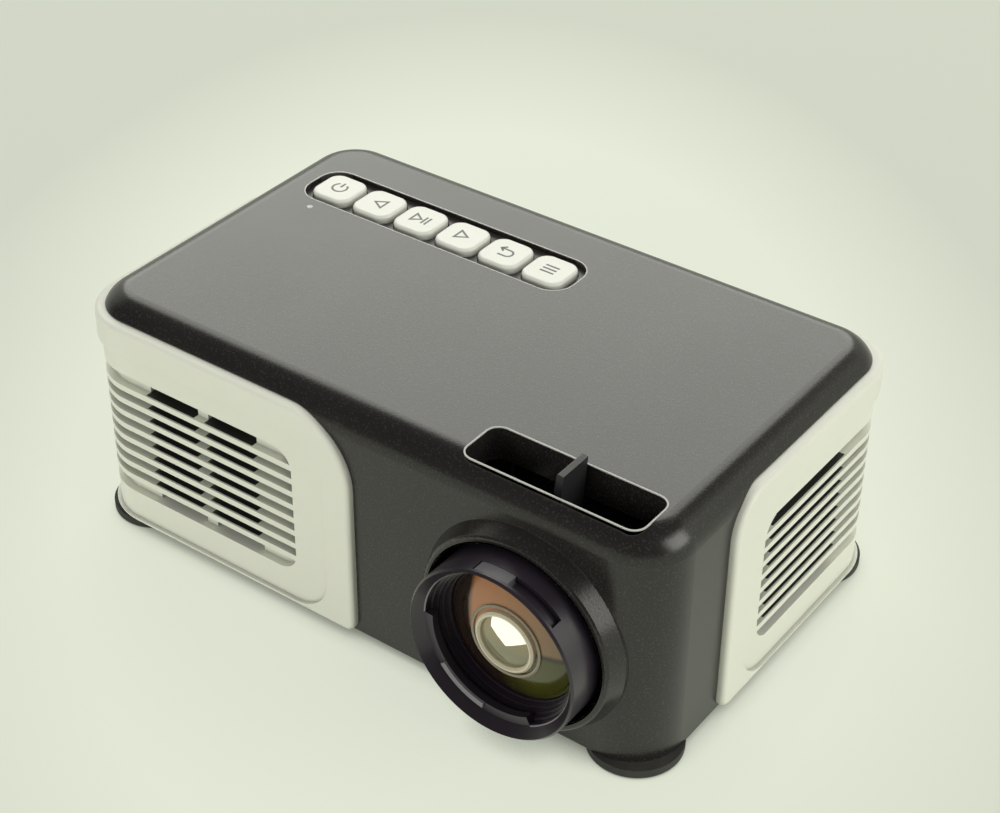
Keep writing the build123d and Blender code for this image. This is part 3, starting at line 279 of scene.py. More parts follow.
def slit_shade(finish, turn):
    """Where a cover's bars run over open slits: a mask for painted shade on all that lies more than
    a skin behind the cover's face.
    """
    spot = finish.node("ShaderNodeSeparateXYZ", {}, finish.place())
    x = spot.out("X") * turn
    y = (spot.out("Y") - BODY_Y) * turn
    height = spot.out("Z") - SHELL_LOW.z
    field = (height > LOUVRE_LOW) * (height < LOUVRE_HIGH)
    front = (y < SLIT_SKIN - HALF_D - PANEL_PROUD)
    columns = sum((x > start) * (x < end) for start, end in SLIT_COLUMNS)
    long_side = columns * (1 - front) * (y < 4 * MM - HALF_D)
    skin = (x < SLIT_SKIN - HALF_W - PANEL_PROUD)
    short_side = (y > SLIT_SIDE[0]) * (y < SLIT_SIDE[1]) * (1 - skin) * (x < 4 * MM - HALF_W)
    return ((long_side + short_side) * field).clamped()


def cover_finish(name, settings, turn):
    """Off-white moulded covers, a little yellowed, with painted shade in the grooves and a
    near-black painted shade over the slits.
    """
    base = tuple(settings.cover_colour)
    finish = Finish(name, base, 0.42, IOR=1.46, Subsurface_Weight=0.05, Subsurface_Scale=0.002)
    cloud = finish.noise(30, 4)
    # ambient occlusion greys the grooves and recesses: painted shade
    dust_and_shade = finish.node("ShaderNodeAmbientOcclusion", {"samples": 6, "only_local": True},
                       Distance=0.0022).out("AO")
    clean = finish.blend(cloud, tone(base, 0.97), tone(base, 1.02))
    groove_shaded = finish.blend(((dust_and_shade - 0.25) * 1.8).clamped(), tuple(settings.groove_colour), clean)
    # over the slits, surfaces behind the cover's face get a near-black painted shade
    finish.feed("Base Color", finish.blend(slit_shade(finish, turn), groove_shaded, (0.022, 0.022, 0.02)))
    finish.feed("Roughness", 0.38 + cloud * 0.1)
    finish.bump(finish.noise(1500, 2, 0.6), 0.000012)
    return finish


def key_finish(name, settings):
    """Glossy white keys."""
    base = tuple(settings.key_colour)
    finish = Finish(name, base, 0.3, IOR=1.49, Coat_Weight=0.15, Coat_Roughness=0.1)
    cloud = finish.noise(140, 3)
    clean = finish.blend(cloud, tone(base, 0.95), tone(base, 1.02))
    # the keys' edges get a faint painted highlight
    edge_highlight(finish, clean, tone(base, 1.08), 0.0003)
    finish.feed("Roughness", 0.26 + cloud * 0.1)
    finish.bump(finish.noise(900, 2), 0.000006)
    return finish


def rubber_finish(name, settings):
    """Matt rubber with dust."""
    base = (0.014, 0.014, 0.015)
    finish = Finish(name, base, 0.75)
    dust_and_shade = finish.noise(260, 4, 0.7)
    finish.feed("Base Color", finish.blend(dust_and_shade, base, (0.06, 0.058, 0.052)))
    finish.feed("Roughness", 0.65 + dust_and_shade * 0.25)
    finish.bump(finish.noise(1200, 3, 0.7), 0.00003)
    return finish


def barrel_finish(name, settings):
    """Purple-black moulded lens parts with mottling and a fine grain."""
    base = tuple(settings.barrel_colour)
    finish = Finish(name, base, 0.3, IOR=1.5, Coat_Weight=0.2, Coat_Roughness=0.15)
    cloud = finish.noise(90, 3)
    spot = finish.node("ShaderNodeSeparateXYZ", {}, finish.place())
    across, height = spot.out("X") - LENS_MID.x, spot.out("Z") - LENS_MID.z
    # the top pad at the front is painted paler and rougher: a painted highlight where light from
    # above catches it
    lug = ((spot.out("Y") < LENS_FRONT + 3.3 * MM) * (spot.out("Y") > LENS_FRONT + 0.9 * MM)
           * (across > -3.8 * MM) * (across < 2.95 * MM) * (height > 15 * MM))
    paint = finish.blend(cloud, tone(base, 0.75), tone(base, 1.35))
    finish.feed("Base Color", finish.blend(lug, paint, (0.10, 0.096, 0.105)))
    finish.feed("Roughness", 0.24 + cloud * 0.14 + lug * 0.15)
    finish.bump(finish.noise(1700, 2), 0.000008)
    return finish


def glass_finish(name, settings):
    """Optical glass, a little warm, with faint smears."""
    finish = Finish(name, (0.97, 0.95, 0.9), 0.0, IOR=1.52, Transmission_Weight=1.0)
    smear = finish.noise(120, 4)
    finish.feed("Roughness", ((smear - 0.5) * 0.08).clamped())
    return finish


def clear_finish(name, settings):
    """Flat clear plates inside the optical box."""
    finish = Finish(name, (0.9, 0.94, 0.95), 0.02, IOR=1.5, Transmission_Weight=0.9)
    haze = finish.noise(90, 3)
    finish.feed("Base Color", finish.blend(haze, (0.84, 0.9, 0.92), (0.95, 0.97, 0.97)))
    finish.feed("Roughness", 0.02 + haze * 0.06)
    return finish


def screen_finish(name, settings):
    """The image panel: a dark cell of fine rows under polariser film."""
    finish = Finish(name, (0.02, 0.022, 0.03), 0.12)
    spot = finish.node("ShaderNodeSeparateXYZ", {}, finish.place())
    rows = finish.node("ShaderNodeMath", {"operation": "PINGPONG"},
                       spot.out("Z"), PANEL_ROW).out() * (1 / PANEL_ROW)
    finish.feed("Base Color", finish.blend(rows, (0.012, 0.013, 0.02), (0.05, 0.045, 0.075)))
    finish.feed("Roughness", 0.1 + finish.noise(80, 2) * 0.1)
    return finish


def board_finish(name, settings):
    """Solder-masked board with tracks and tinned pads."""
    green = (0.008, 0.075, 0.035)
    finish = Finish(name, green, 0.35, Coat_Weight=0.3, Coat_Roughness=0.2)
    spots = finish.node("ShaderNodeTexVoronoi", {"feature": "F1"}, Vector=finish.place(),
                        Scale=420.0).out("Distance")
    wires = finish.node("ShaderNodeTexBrick", {"offset": 0.5}, Vector=finish.place(), Scale=320.0,
                        Mortar_Size=0.03, Color1=(0, 0, 0, 1), Color2=(0, 0, 0, 1),
                        Mortar=(1, 1, 1, 1)).out("Fac")
    mask = finish.blend(wires * 0.8, green, (0.02, 0.16, 0.07))
    tin = spots < 0.12
    finish.feed("Base Color", finish.blend(tin, mask, (0.6, 0.6, 0.56)))
    finish.feed("Metallic", tin * 0.9)
    finish.feed("Roughness", 0.3 + finish.noise(150, 2) * 0.12)
    finish.bump(wires + tin, 0.00002)
    return finish


def chip_finish(name, settings):
    """Black epoxy packages with a laser-grey surface grain."""
    return moulded(name, (0.018, 0.018, 0.02), 0.55, 2600, 0.00001, 0.3)


def light_finish(name, settings):
    """The small light pipe beside the keys."""
    finish = Finish(name, (0.75, 0.8, 0.78), 0.2, IOR=1.49, Transmission_Weight=0.5)
    haze = finish.noise(900, 2)
    finish.feed("Base Color", finish.blend(haze, (0.55, 0.6, 0.58), (0.85, 0.9, 0.88)))
    return finish


def lamp_finish(name, settings):
    """White solder mask with the lamp's phosphor patch in the middle."""
    finish = Finish(name, (0.78, 0.78, 0.74), 0.35)
    spot = finish.node("ShaderNodeSeparateXYZ", {}, finish.place())
    reach = [finish.node("ShaderNodeMath", {"operation": "ABSOLUTE"},
                         spot.out(axis) - middle_of).out()
             for axis, middle_of in (("X", LAMP_MID.x), ("Z", LAMP_MID.z))]
    patch = (reach[0] < 3 * MM) * (reach[1] < 3 * MM)
    cloud = finish.noise(200, 2)
    finish.feed("Base Color", finish.blend(patch, (0.8, 0.8, 0.76), (0.75, 0.55, 0.12)))
    finish.feed("Roughness", 0.3 + cloud * 0.15 + patch * 0.25)
    return finish


def paper_finish(name, settings):
    """Pressed fibre of the speaker cone."""
    finish = Finish(name, (0.03, 0.028, 0.026), 0.85, Sheen_Weight=0.3, Sheen_Roughness=0.5)
    fibres = finish.noise(1400, 5, 0.8)
    finish.feed("Base Color", finish.blend(fibres, (0.018, 0.017, 0.016), (0.075, 0.07, 0.065)))
    finish.bump(fibres, 0.00004)
    return finish


FINISHES = {
    "shell_grey": shell_finish,
    "base_black": lambda name, s: moulded(name, tone(tuple(s.shell_colour), 0.8), 0.5,
                                          1500, 0.00002, 0.2),
    "cover_white": lambda name, s: cover_finish(name, s, -1 if name == "right_cover" else 1),
    "foot_rubber": rubber_finish,
    "thread_brass": lambda name, s: brushed(name, (0.75, 0.53, 0.24), 0.25, "Z"),
    "screw_steel": lambda name, s: brushed(name, (0.52, 0.52, 0.53), 0.25, "X"),
    "key_white": key_finish,
    "board_green": board_finish,
    "switch_metal": lambda name, s: brushed(name, (0.66, 0.65, 0.62), 0.3, "Y"),
    "light_pipe": light_finish,
    "lens_purple": barrel_finish,
    # the ring catch is painted pale grey, paler than the lens's own plastic: painted light on its
    # lit faces
    "catch_grey": lambda name, s: moulded(name, tuple(s.catch_colour), 0.35,
                                          1500, 0.00001, 0.08),
    "lens_glass": glass_finish,
    "focus_black": lambda name, s: moulded(name, (0.02, 0.019, 0.021), 0.42, 1700, 0.00002, 0.25),
    "plate_glass": clear_finish,
    "lcd_dark": screen_finish,
    "reflector": lambda name, s: brushed(name, (0.82, 0.82, 0.84), 0.08, "Y"),
    "led_white": lamp_finish,
    "sink_metal": lambda name, s: brushed(name, (0.68, 0.69, 0.7), 0.32, "Z"),
    "fan_black": lambda name, s: moulded(name, (0.016, 0.016, 0.017), 0.4, 1500, 0.00001, 0.3),
    "chip_black": chip_finish,
    "cap_metal": lambda name, s: brushed(name, (0.6, 0.6, 0.62), 0.22, "Z"),
    "socket_metal": lambda name, s: brushed(name, (0.7, 0.69, 0.67), 0.22, "X"),
    "socket_black": lambda name, s: moulded(name, (0.02, 0.02, 0.021), 0.45, 1500, 0.00001, 0.3),
    "speaker_metal": lambda name, s: moulded(name, (0.014, 0.014, 0.015), 0.6, 1500, 0.00002, 0.3),
    "speaker_paper": paper_finish,
}


# ------------------------------------------------------------------ mesh tools
class Shape:
    """A mesh under construction, in a local frame: x and y across, z out of the surface."""

    def __init__(self, place=Matrix.Identity(4)):
        self.work = bmesh.new()
        self.place = place

    def point(self, x, y, z=0.0):
        return self.work.verts.new(self.place @ Vector((x, y, z)))

    def turn(self, profile, steps=96, start=0.0, sweep=math.tau):
        """A ring about z from a closed outline of radius, z pairs."""
        whole = sweep >= math.tau - 1e-6
        stops = steps if whole else steps + 1
        rims = []
        for step in range(stops):
            angle = start + sweep * step / steps
            rims.append([self.point(radius * math.cos(angle), radius * math.sin(angle), z)
                         for radius, z in profile])
        for step in range(steps):
            here, after = rims[step], rims[(step + 1) % stops]
            for index in range(len(profile)):
                follow = (index + 1) % len(profile)
                self.work.faces.new((here[index], here[follow], after[follow], after[index]))
        if not whole:
            self.work.faces.new(rims[0][::-1])
            self.work.faces.new(rims[-1])

    def stroke(self, line, width, low, high, closed=False):
        """A flat bar of even width along a line of x, y pairs, mitred at its corners."""
        line = [Vector(spot) for spot in line]
        count = len(line)
        left, right = [], []
        for index, spot in enumerate(line):
            before = line[index - 1] if index or closed else None
            after = line[(index + 1) % count] if index < count - 1 or closed else None
            ways = [w.normalized() for w in ((spot - before) if before is not None else None,
                                             (after - spot) if after is not None else None)
                    if w is not None]
            side = sum((Vector((-w.y, w.x)) for w in ways), Vector((0, 0))).normalized()
            reach = width / 2 / max(side.dot(Vector((-ways[0].y, ways[0].x))), 0.35)
            left.append(spot + side * reach)
            right.append(spot - side * reach)
        pairs = list(zip(left, right))
        rows = [[self.point(*spot, z) for spot, z in
                 ((a, low), (b, low), (b, high), (a, high))] for a, b in pairs]
        spans = count if closed else count - 1
        for index in range(spans):
            here, after = rows[index], rows[(index + 1) % count]
            for corner in range(4):
                follow = (corner + 1) % 4
                self.work.faces.new((here[corner], here[follow], after[follow], after[corner]))
        if not closed:
            self.work.faces.new(rows[0][::-1])
            self.work.faces.new(rows[-1])

    def finish(self, name, material, body, slot, smooth=False):
        """Closes the mesh, gives it its finish and lets it ride on a CAD body."""
        bmesh.ops.recalc_face_normals(self.work, faces=self.work.faces)
        mesh = bpy.data.meshes.new(name)
        self.work.to_mesh(mesh)
        self.work.free()
        mesh.materials.append(material)
        if smooth:
            mesh.shade_smooth()
            mesh.set_sharp_from_angle(angle=math.radians(35))
        piece = bpy.data.objects.new(name, mesh)
        bpy.context.scene.collection.objects.link(piece)
        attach(piece, body)
        return piece


def facing(origin, out, across):
    """A local frame at a point: z out of the surface, x across it."""
    out, across = Vector(out).normalized(), Vector(across).normalized()
    up = out.cross(across)
    turned = Matrix((across, up, out)).transposed().to_4x4()
    return Matrix.Translation(origin) @ turned


def arc(radius, first, last, steps, x=0.0, y=0.0):
    """Points along a circle, angles in degrees."""
    return [(x + radius * math.cos(math.radians(first + (last - first) * step / steps)),
             y + radius * math.sin(math.radians(first + (last - first) * step / steps)))
            for step in range(steps + 1)]


def rounded(width, height, radius, steps=6):
    """A rounded rectangle about the origin."""
    x, y = width / 2 - radius, height / 2 - radius
    return [spot for sx, sy, first in ((1, 1, 0), (-1, 1, 90), (-1, -1, 180), (1, -1, 270))
            for spot in arc(radius, first, first + 90, steps, sx * x, sy * y)]


# ------------------------------------------------------------------ settings
class ProjectorFinishes(bpy.types.PropertyGroup):
    """Colours of the main mouldings."""

    shell_colour: FloatVectorProperty(
        name="Shell", description="Dark satin plastic of the top shell", subtype="COLOR",
        default=(0.017, 0.015, 0.0145), min=0, max=1)
    shell_gloss: FloatProperty(
        name="Shell roughness", description="How blurred the shell's reflections are",
        subtype="FACTOR", default=0.24, min=0, max=1)
    cover_colour: FloatVectorProperty(
        name="Covers", description="Off-white plastic of the two side covers", subtype="COLOR",
        default=(0.76, 0.77, 0.68), min=0, max=1)
    # colour of the painted shade in the louvre grooves
    groove_colour: FloatVectorProperty(
        name="Groove dust", description="Dust that settles in the louvre grooves",
        subtype="COLOR", default=(0.33, 0.34, 0.3), min=0, max=1)
    key_colour: FloatVectorProperty(
        name="Keys", description="White plastic of the keys", subtype="COLOR",
        default=(0.74, 0.75, 0.68), min=0, max=1)
    barrel_colour: FloatVectorProperty(
        name="Lens barrel", description="Purple-black plastic of the lens", subtype="COLOR",
        default=(0.022, 0.016, 0.024), min=0, max=1)
    # colour of the painted highlights along the slot, the tray and the lens opening
    rubbed_colour: FloatVectorProperty(
        name="Rubbed edges", description="Pale edges of the slot, the tray and the lens opening",
        subtype="COLOR", default=(0.4, 0.4, 0.37), min=0, max=1)
    # pale grey of the ring catch: painted light, paler than the lens's own plastic
    catch_colour: FloatVectorProperty(
        name="Ring catch", description="Pale grey catch behind the lens's front ring",
        subtype="COLOR", default=(0.2, 0.19, 0.205), min=0, max=1)


class ProjectorSigns(bpy.types.PropertyGroup):
    """Printed signs on the keys."""

    stroke: FloatProperty(name="Stroke", description="Width of a sign's lines", unit="LENGTH",
                          default=0.42 * MM, precision=5)
    size: FloatProperty(name="Size", description="Half the width of a sign", unit="LENGTH",
                        default=1.5 * MM, precision=5)
    proud: FloatProperty(name="Ink", description="How far the ink stands on the key",
                         unit="LENGTH", default=0.02 * MM, precision=6)
    ink: FloatVectorProperty(name="Ink colour", description="Colour of the printed signs",
                             subtype="COLOR", default=(0.10, 0.10, 0.10), min=0, max=1)


class ProjectorOptics(bpy.types.PropertyGroup):
    """What is seen inside the lens."""

    bezel_colour: FloatVectorProperty(
        name="Inner bezel", description="Cream ring that holds the second lens",
        subtype="COLOR", default=(0.62, 0.56, 0.42), min=0, max=1)
    # the four coating colours paint the coated glass's reflections on an opaque dish
    coating_warm: FloatVectorProperty(
        name="Warm coating", description="Amber side of the coated inner glass",
        subtype="COLOR", default=(0.36, 0.15, 0.06), min=0, max=1)
    coating_tan: FloatVectorProperty(
        name="Tan coating", description="Brown-grey right side of the coated inner glass",
        subtype="COLOR", default=(0.17, 0.12, 0.065), min=0, max=1)
    coating_cool: FloatVectorProperty(
        name="Cool coating", description="Olive side of the coated inner glass",
        subtype="COLOR", default=(0.06, 0.06, 0.01), min=0, max=1)
    coating_dark: FloatVectorProperty(
        name="Dark coating", description="Brown-black side of the coated inner glass",
        subtype="COLOR", default=(0.018, 0.010, 0.007), min=0, max=1)


class ProjectorStudio(bpy.types.PropertyGroup):
    """Floor, light and camera."""

    backdrop: FloatVectorProperty(
        name="Backdrop", description="Pale colour of the floor and the world", subtype="COLOR",
        default=(0.79, 0.83, 0.70), min=0, max=1)
    # tone of the painted pool of light on the floor, far from the object
    distant: FloatProperty(
        name="Far tone", description="Tone of the far floor, as a share of that near the object",
        subtype="FACTOR", default=0.8, min=0, max=1)
    shadow: FloatProperty(name="Shadow", description="Share of the light that the floor shows",
                          subtype="FACTOR", default=0.22, min=0, max=1)
    floor_glow: FloatProperty(
        name="Floor glow", description="Even tone of the floor in the picture",
        default=0.79, min=0, max=2)
    ambient: FloatProperty(name="Ambient", description="Strength of the even light",
                           default=0.42, min=0, max=2)
    rear_light: FloatProperty(name="Rear light", description="Power of the soft light behind",
                              unit="POWER", default=7.4, min=0)
    side_light: FloatProperty(name="Side light", description="Power of the soft light on the right",
                              unit="POWER", default=5.8, min=0)
    front_light: FloatProperty(name="Front light", description="Power of the soft light in front",
                               unit="POWER", default=6.0, min=0)
    azimuth: FloatProperty(name="Azimuth", description="Camera's angle round the object",
                           subtype="ANGLE", default=math.radians(36.0))
    elevation: FloatProperty(name="Elevation", description="Camera's angle above the floor",
                             subtype="ANGLE", default=math.radians(35.66))
    roll: FloatProperty(name="Roll", description="Camera's turn about its own axis",
                        subtype="ANGLE", default=math.radians(0.48))
    distance: FloatProperty(name="Distance", description="Camera to its target", unit="LENGTH",
                            default=390.95 * MM)
    target: FloatVectorProperty(
        name="Target", description="Point that the camera looks at, from the body's middle",
        unit="LENGTH", default=(0.86 * MM, 4.13 * MM, 25.08 * MM), precision=5)
    lens: FloatProperty(name="Lens", description="Focal length in millimetres", default=75.54)
    shift: FloatProperty(name="Shift", description="Sideways shift of the picture", default=0.0012,
                         precision=5)


# ------------------------------------------------------------------ operators
class PROJECTOR_OT_finishes(bpy.types.Operator):
    """Give every CAD piece the finish of its material slot"""

    bl_idname = "projector.finishes"
    bl_label = "Finishes"

    def execute(self, context):
        settings = context.scene.projector_finishes
        made = {}
        for part in frame["record"]["subparts"]:
            slot, node = part["material_slot"], part["node"]
            name = node if slot == "cover_white" else slot
            if name not in made:
                made[name] = FINISHES[slot](name, settings).material
            mesh = frame["nodes"][node].data
            mesh.materials.clear()
            mesh.materials.append(made[name])
        return {"FINISHED"}


SIGNS = {
    # each sign as bars along lines of x, y pairs, in shares of the sign's size
    "power_key": [(arc(1.0, 125, 415, 28), False), ([(0, 0.15), (0, 1.2)], False)],
    "left_key": [([(0.75, 0.9), (-0.75, 0), (0.75, -0.9)], True)],
    "play_key": [([(-1.15, 0.85), (0.1, 0), (-1.15, -0.85)], True),
                 ([(0.55, 0.85), (0.55, -0.85)], False), ([(1.1, 0.85), (1.1, -0.85)], False)],
    "right_key": [([(-0.75, 0.9), (0.75, 0), (-0.75, -0.9)], True)],
    "back_key": [([(-0.45, 1.15), (-1.05, 0.6), (-0.45, 0.05)], False),
                 ([(-1.0, 0.6), (0.35, 0.6)] + arc(0.72, 80, -90, 14, 0.35, -0.12)
                  + [(-0.7, -0.84)], False)],
    "menu_key": [([(-1, 0.7), (1, 0.7)], False), ([(-1, 0), (1, 0)], False),
                 ([(-1, -0.7), (1, -0.7)], False)],
}


class PROJECTOR_OT_key_signs(bpy.types.Operator):
    """Print a sign on each key"""

    bl_idname = "projector.key_signs"
    bl_label = "Key signs"

    def execute(self, context):
        signs = context.scene.projector_signs
        ink = moulded("sign_ink", tuple(signs.ink), 0.4, 2500, 0.000004, 0.2).material
        for key in KEYS:
            top = middle(key)
            top.z = high_of(key).z
            shape = Shape(Matrix.Translation(top))
            for line, closed in SIGNS[key]:
                shape.stroke([(x * signs.size, y * signs.size) for x, y in line],
                             signs.stroke, -signs.proud, signs.proud, closed)
            shape.finish(key + "_sign", ink, key, "key_white")
        return {"FINISHED"}


class PROJECTOR_OT_optics(bpy.types.Operator):
    """Build what shows inside the lens: bezels, the coated glass's reflections painted on opaque
    pieces and a painted highlight on the ring's inner edge
    """

    bl_idname = "projector.optics"
    bl_label = "Optics"

    def execute(self, context):
        optics = context.scene.projector_optics
        # local frame: z looks forward out of the lens, origin where the front glass is seated
        seat = high_of("hood_baffle").y
        rim = facing((LENS_MID.x, seat, LENS_MID.z), (0, -1, 0), (1, 0, 0))

        cream = moulded("bezel_cream", tuple(optics.bezel_colour), 0.3, 1400, 0.00001, 0.08)
        bezel = Shape(rim)
        bezel.turn([(5.0 * MM, 3.0 * MM), (5.95 * MM, 3.0 * MM), (5.95 * MM, 3.7 * MM),
                    (5.6 * MM, 4.0 * MM), (5.3 * MM, 4.0 * MM), (5.0 * MM, 3.6 * MM)])
        bezel.finish("inner_bezel", cream.material, LENS_BODY, "lens_glass", smooth=True)
        olive = moulded("bezel_olive", tone(tuple(optics.bezel_colour), 0.45), 0.3,
                        1400, 0.00001, 0.08)
        outer = Shape(rim)
        outer.turn([(6.55 * MM, 2.9 * MM), (7.1 * MM, 2.9 * MM), (7.1 * MM, 3.35 * MM),
                    (6.85 * MM, 3.5 * MM), (6.55 * MM, 3.35 * MM)])
        outer.finish("outer_bezel", olive.material, LENS_BODY, "lens_glass", smooth=True)

        # the coated glass's reflections painted on an opaque dish: amber to tan at the top, olive
        # low on the right, dark on the left
        dark = tuple(optics.coating_dark)
        painted_reflection = Finish("painted_reflection", dark, 0.12, IOR=1.5, Coat_Weight=0.35, Coat_Roughness=0.05)
        spot = painted_reflection.node("ShaderNodeSeparateXYZ", {}, painted_reflection.place())
        across = (spot.out("X") - LENS_MID.x) / (12.0 * MM)
        height = (spot.out("Z") - LENS_MID.z) / (12.0 * MM)
        wobble = painted_reflection.noise(90, 2) * 0.12 - 0.06
        warm = (((across + 0.68 + wobble) * 11).clamped()
                * ((height - across * 0.12 + 0.06 + wobble) * 14).clamped())
        cool = (((across * 0.12 - height - 0.06 - wobble) * 14).clamped()
                * ((across * 1.6 + 0.25)).clamped())
        amber = painted_reflection.blend((across * 0.75 + 0.3).clamped(), tuple(optics.coating_warm),
                              tuple(optics.coating_tan))
        paint = painted_reflection.blend(warm, dark, amber)
        painted_reflection.feed("Base Color", painted_reflection.blend(cool, paint, tuple(optics.coating_cool)))
        painted_reflection.feed("Roughness", 0.1 + painted_reflection.noise(60, 2) * 0.1)
        dish = Shape(rim)
        dish.turn([(radius * MM, high * MM) for radius, high in (
            (12.9, 0.15), (12.9, 0.6), (12.3, 0.75), (12.2, 1.25), (11.2, 1.9), (9.5, 2.5),
            (7.2, 3.0), (5.0, 3.15), (4.98, 2.35), (8.0, 1.7), (10.6, 1.0))])
        dish.finish("reflection_dish", painted_reflection.material, LENS_BODY, "lens_glass", smooth=True)

        # the inmost glass: a glowing pale patch, a painted highlight, in a surround of painted
        # reflection colours, tan above and olive below
        inmost = Finish("inmost_glass", (0.16, 0.13, 0.08), 0.06, IOR=1.6, Coat_Weight=0.5,
                        Coat_Roughness=0.02)
        spot = inmost.node("ShaderNodeSeparateXYZ", {}, inmost.place())
        across = (spot.out("X") - LENS_MID.x) / (5.0 * MM)
        height = (spot.out("Z") - LENS_MID.z) / (5.0 * MM)
        wobble = inmost.noise(260, 1) * 0.3 - 0.15
        highlight_patch = ((across + 0.56 + wobble > 0) * (height + across * 0.77 > 0)
                * (height - across * 0.55 + 0.12 > 0))
        low_side = ((0.2 - height) * 1.8).clamped()
        tan = inmost.blend(low_side, (0.27, 0.22, 0.12), (0.19, 0.18, 0.10))
        inmost.feed("Base Color", inmost.blend(highlight_patch, tan, (0.88, 0.90, 0.76)))
        # the pale patch glows: painted light, not a lamp
        inmost.feed("Emission Color", inmost.blend(highlight_patch, (0, 0, 0), (0.5, 0.52, 0.42)))
        inmost.shader.inputs["Emission Strength"].default_value = 0.8
        dome = Shape(rim)
        dome.turn([(0.01 * MM, 3.85 * MM), (1.8 * MM, 3.78 * MM), (3.5 * MM, 3.55 * MM),
                   (4.97 * MM, 3.2 * MM), (4.97 * MM, 2.45 * MM), (0.01 * MM, 2.72 * MM)])
        dome.finish("inmost_dome", inmost.material, LENS_BODY, "lens_glass", smooth=True)

        # painted highlight on the inner edge of the front ring, clear of its notch and collar
        highlight_paint = moulded("ring_highlight_paint", (0.2, 0.19, 0.205), 0.25, 1200, 0.000004, 0.1)
        lip = facing((LENS_MID.x, LENS_FRONT + RING_LIP, LENS_MID.z), (0, -1, 0), (1, 0, 0))
        edge = Shape(lip)
        edge.turn([(CUP_R - 0.02 * MM, -0.12 * MM), (CUP_R + 0.22 * MM, 0.12 * MM),
                   (CUP_R + 0.22 * MM, 0.27 * MM), (CUP_R - 0.02 * MM, 0.04 * MM)],
                  steps=72, start=math.radians(-61), sweep=math.radians(238))
        edge.finish("ring_edge", highlight_paint.material, LENS_BODY, "lens_purple", smooth=True)
        return {"FINISHED"}


class PROJECTOR_OT_trims(bpy.types.Operator):
    """Painted highlights along the edges of the focus slot, the key tray and the lens opening"""

    bl_idname = "projector.trims"
    bl_label = "Trims"

    def execute(self, context):
        # pale ribbons along the edges: painted highlights
        trim_highlight = tuple(context.scene.projector_finishes.rubbed_colour)
        highlight_paint = moulded("trim_highlight_paint", trim_highlight, 0.2, 1200, 0.000004, 0.15)
        top = Matrix.Translation((0, BODY_Y, SHELL_HIGH.z))
        slot = Shape(top)
        slot.stroke([(SLOT_MID[0] + x, SLOT_MID[1] + y)
                     for x, y in rounded(SLOT_SIZE[0], SLOT_SIZE[1], SLOT_R)],
                    0.3 * MM, -0.16 * MM, 0.03 * MM, closed=True)
        slot.finish("slot_edge", highlight_paint.material, HOUSING, "shell_grey")
        tray = Shape(top)
        tray.stroke([(TRAY_MID[0] + x, TRAY_MID[1] + y)
                     for x, y in rounded(TRAY_SIZE[0], TRAY_SIZE[1], TRAY_R)],
                    0.22 * MM, -0.12 * MM, 0.02 * MM, closed=True)
        tray.finish("tray_edge", highlight_paint.material, HOUSING, "shell_grey")
        mouth = Shape(facing((LENS_MID.x, SHELL_LOW.y, LENS_MID.z), (0, -1, 0), (1, 0, 0)))
        mouth.turn([(MOUTH_R, -0.2 * MM), (MOUTH_R + 0.3 * MM, -0.2 * MM),
                    (MOUTH_R + 0.3 * MM, 0), (MOUTH_R, 0)])
        mouth.finish("mouth_edge", highlight_paint.material, HOUSING, "shell_grey", smooth=True)
        return {"FINISHED"}


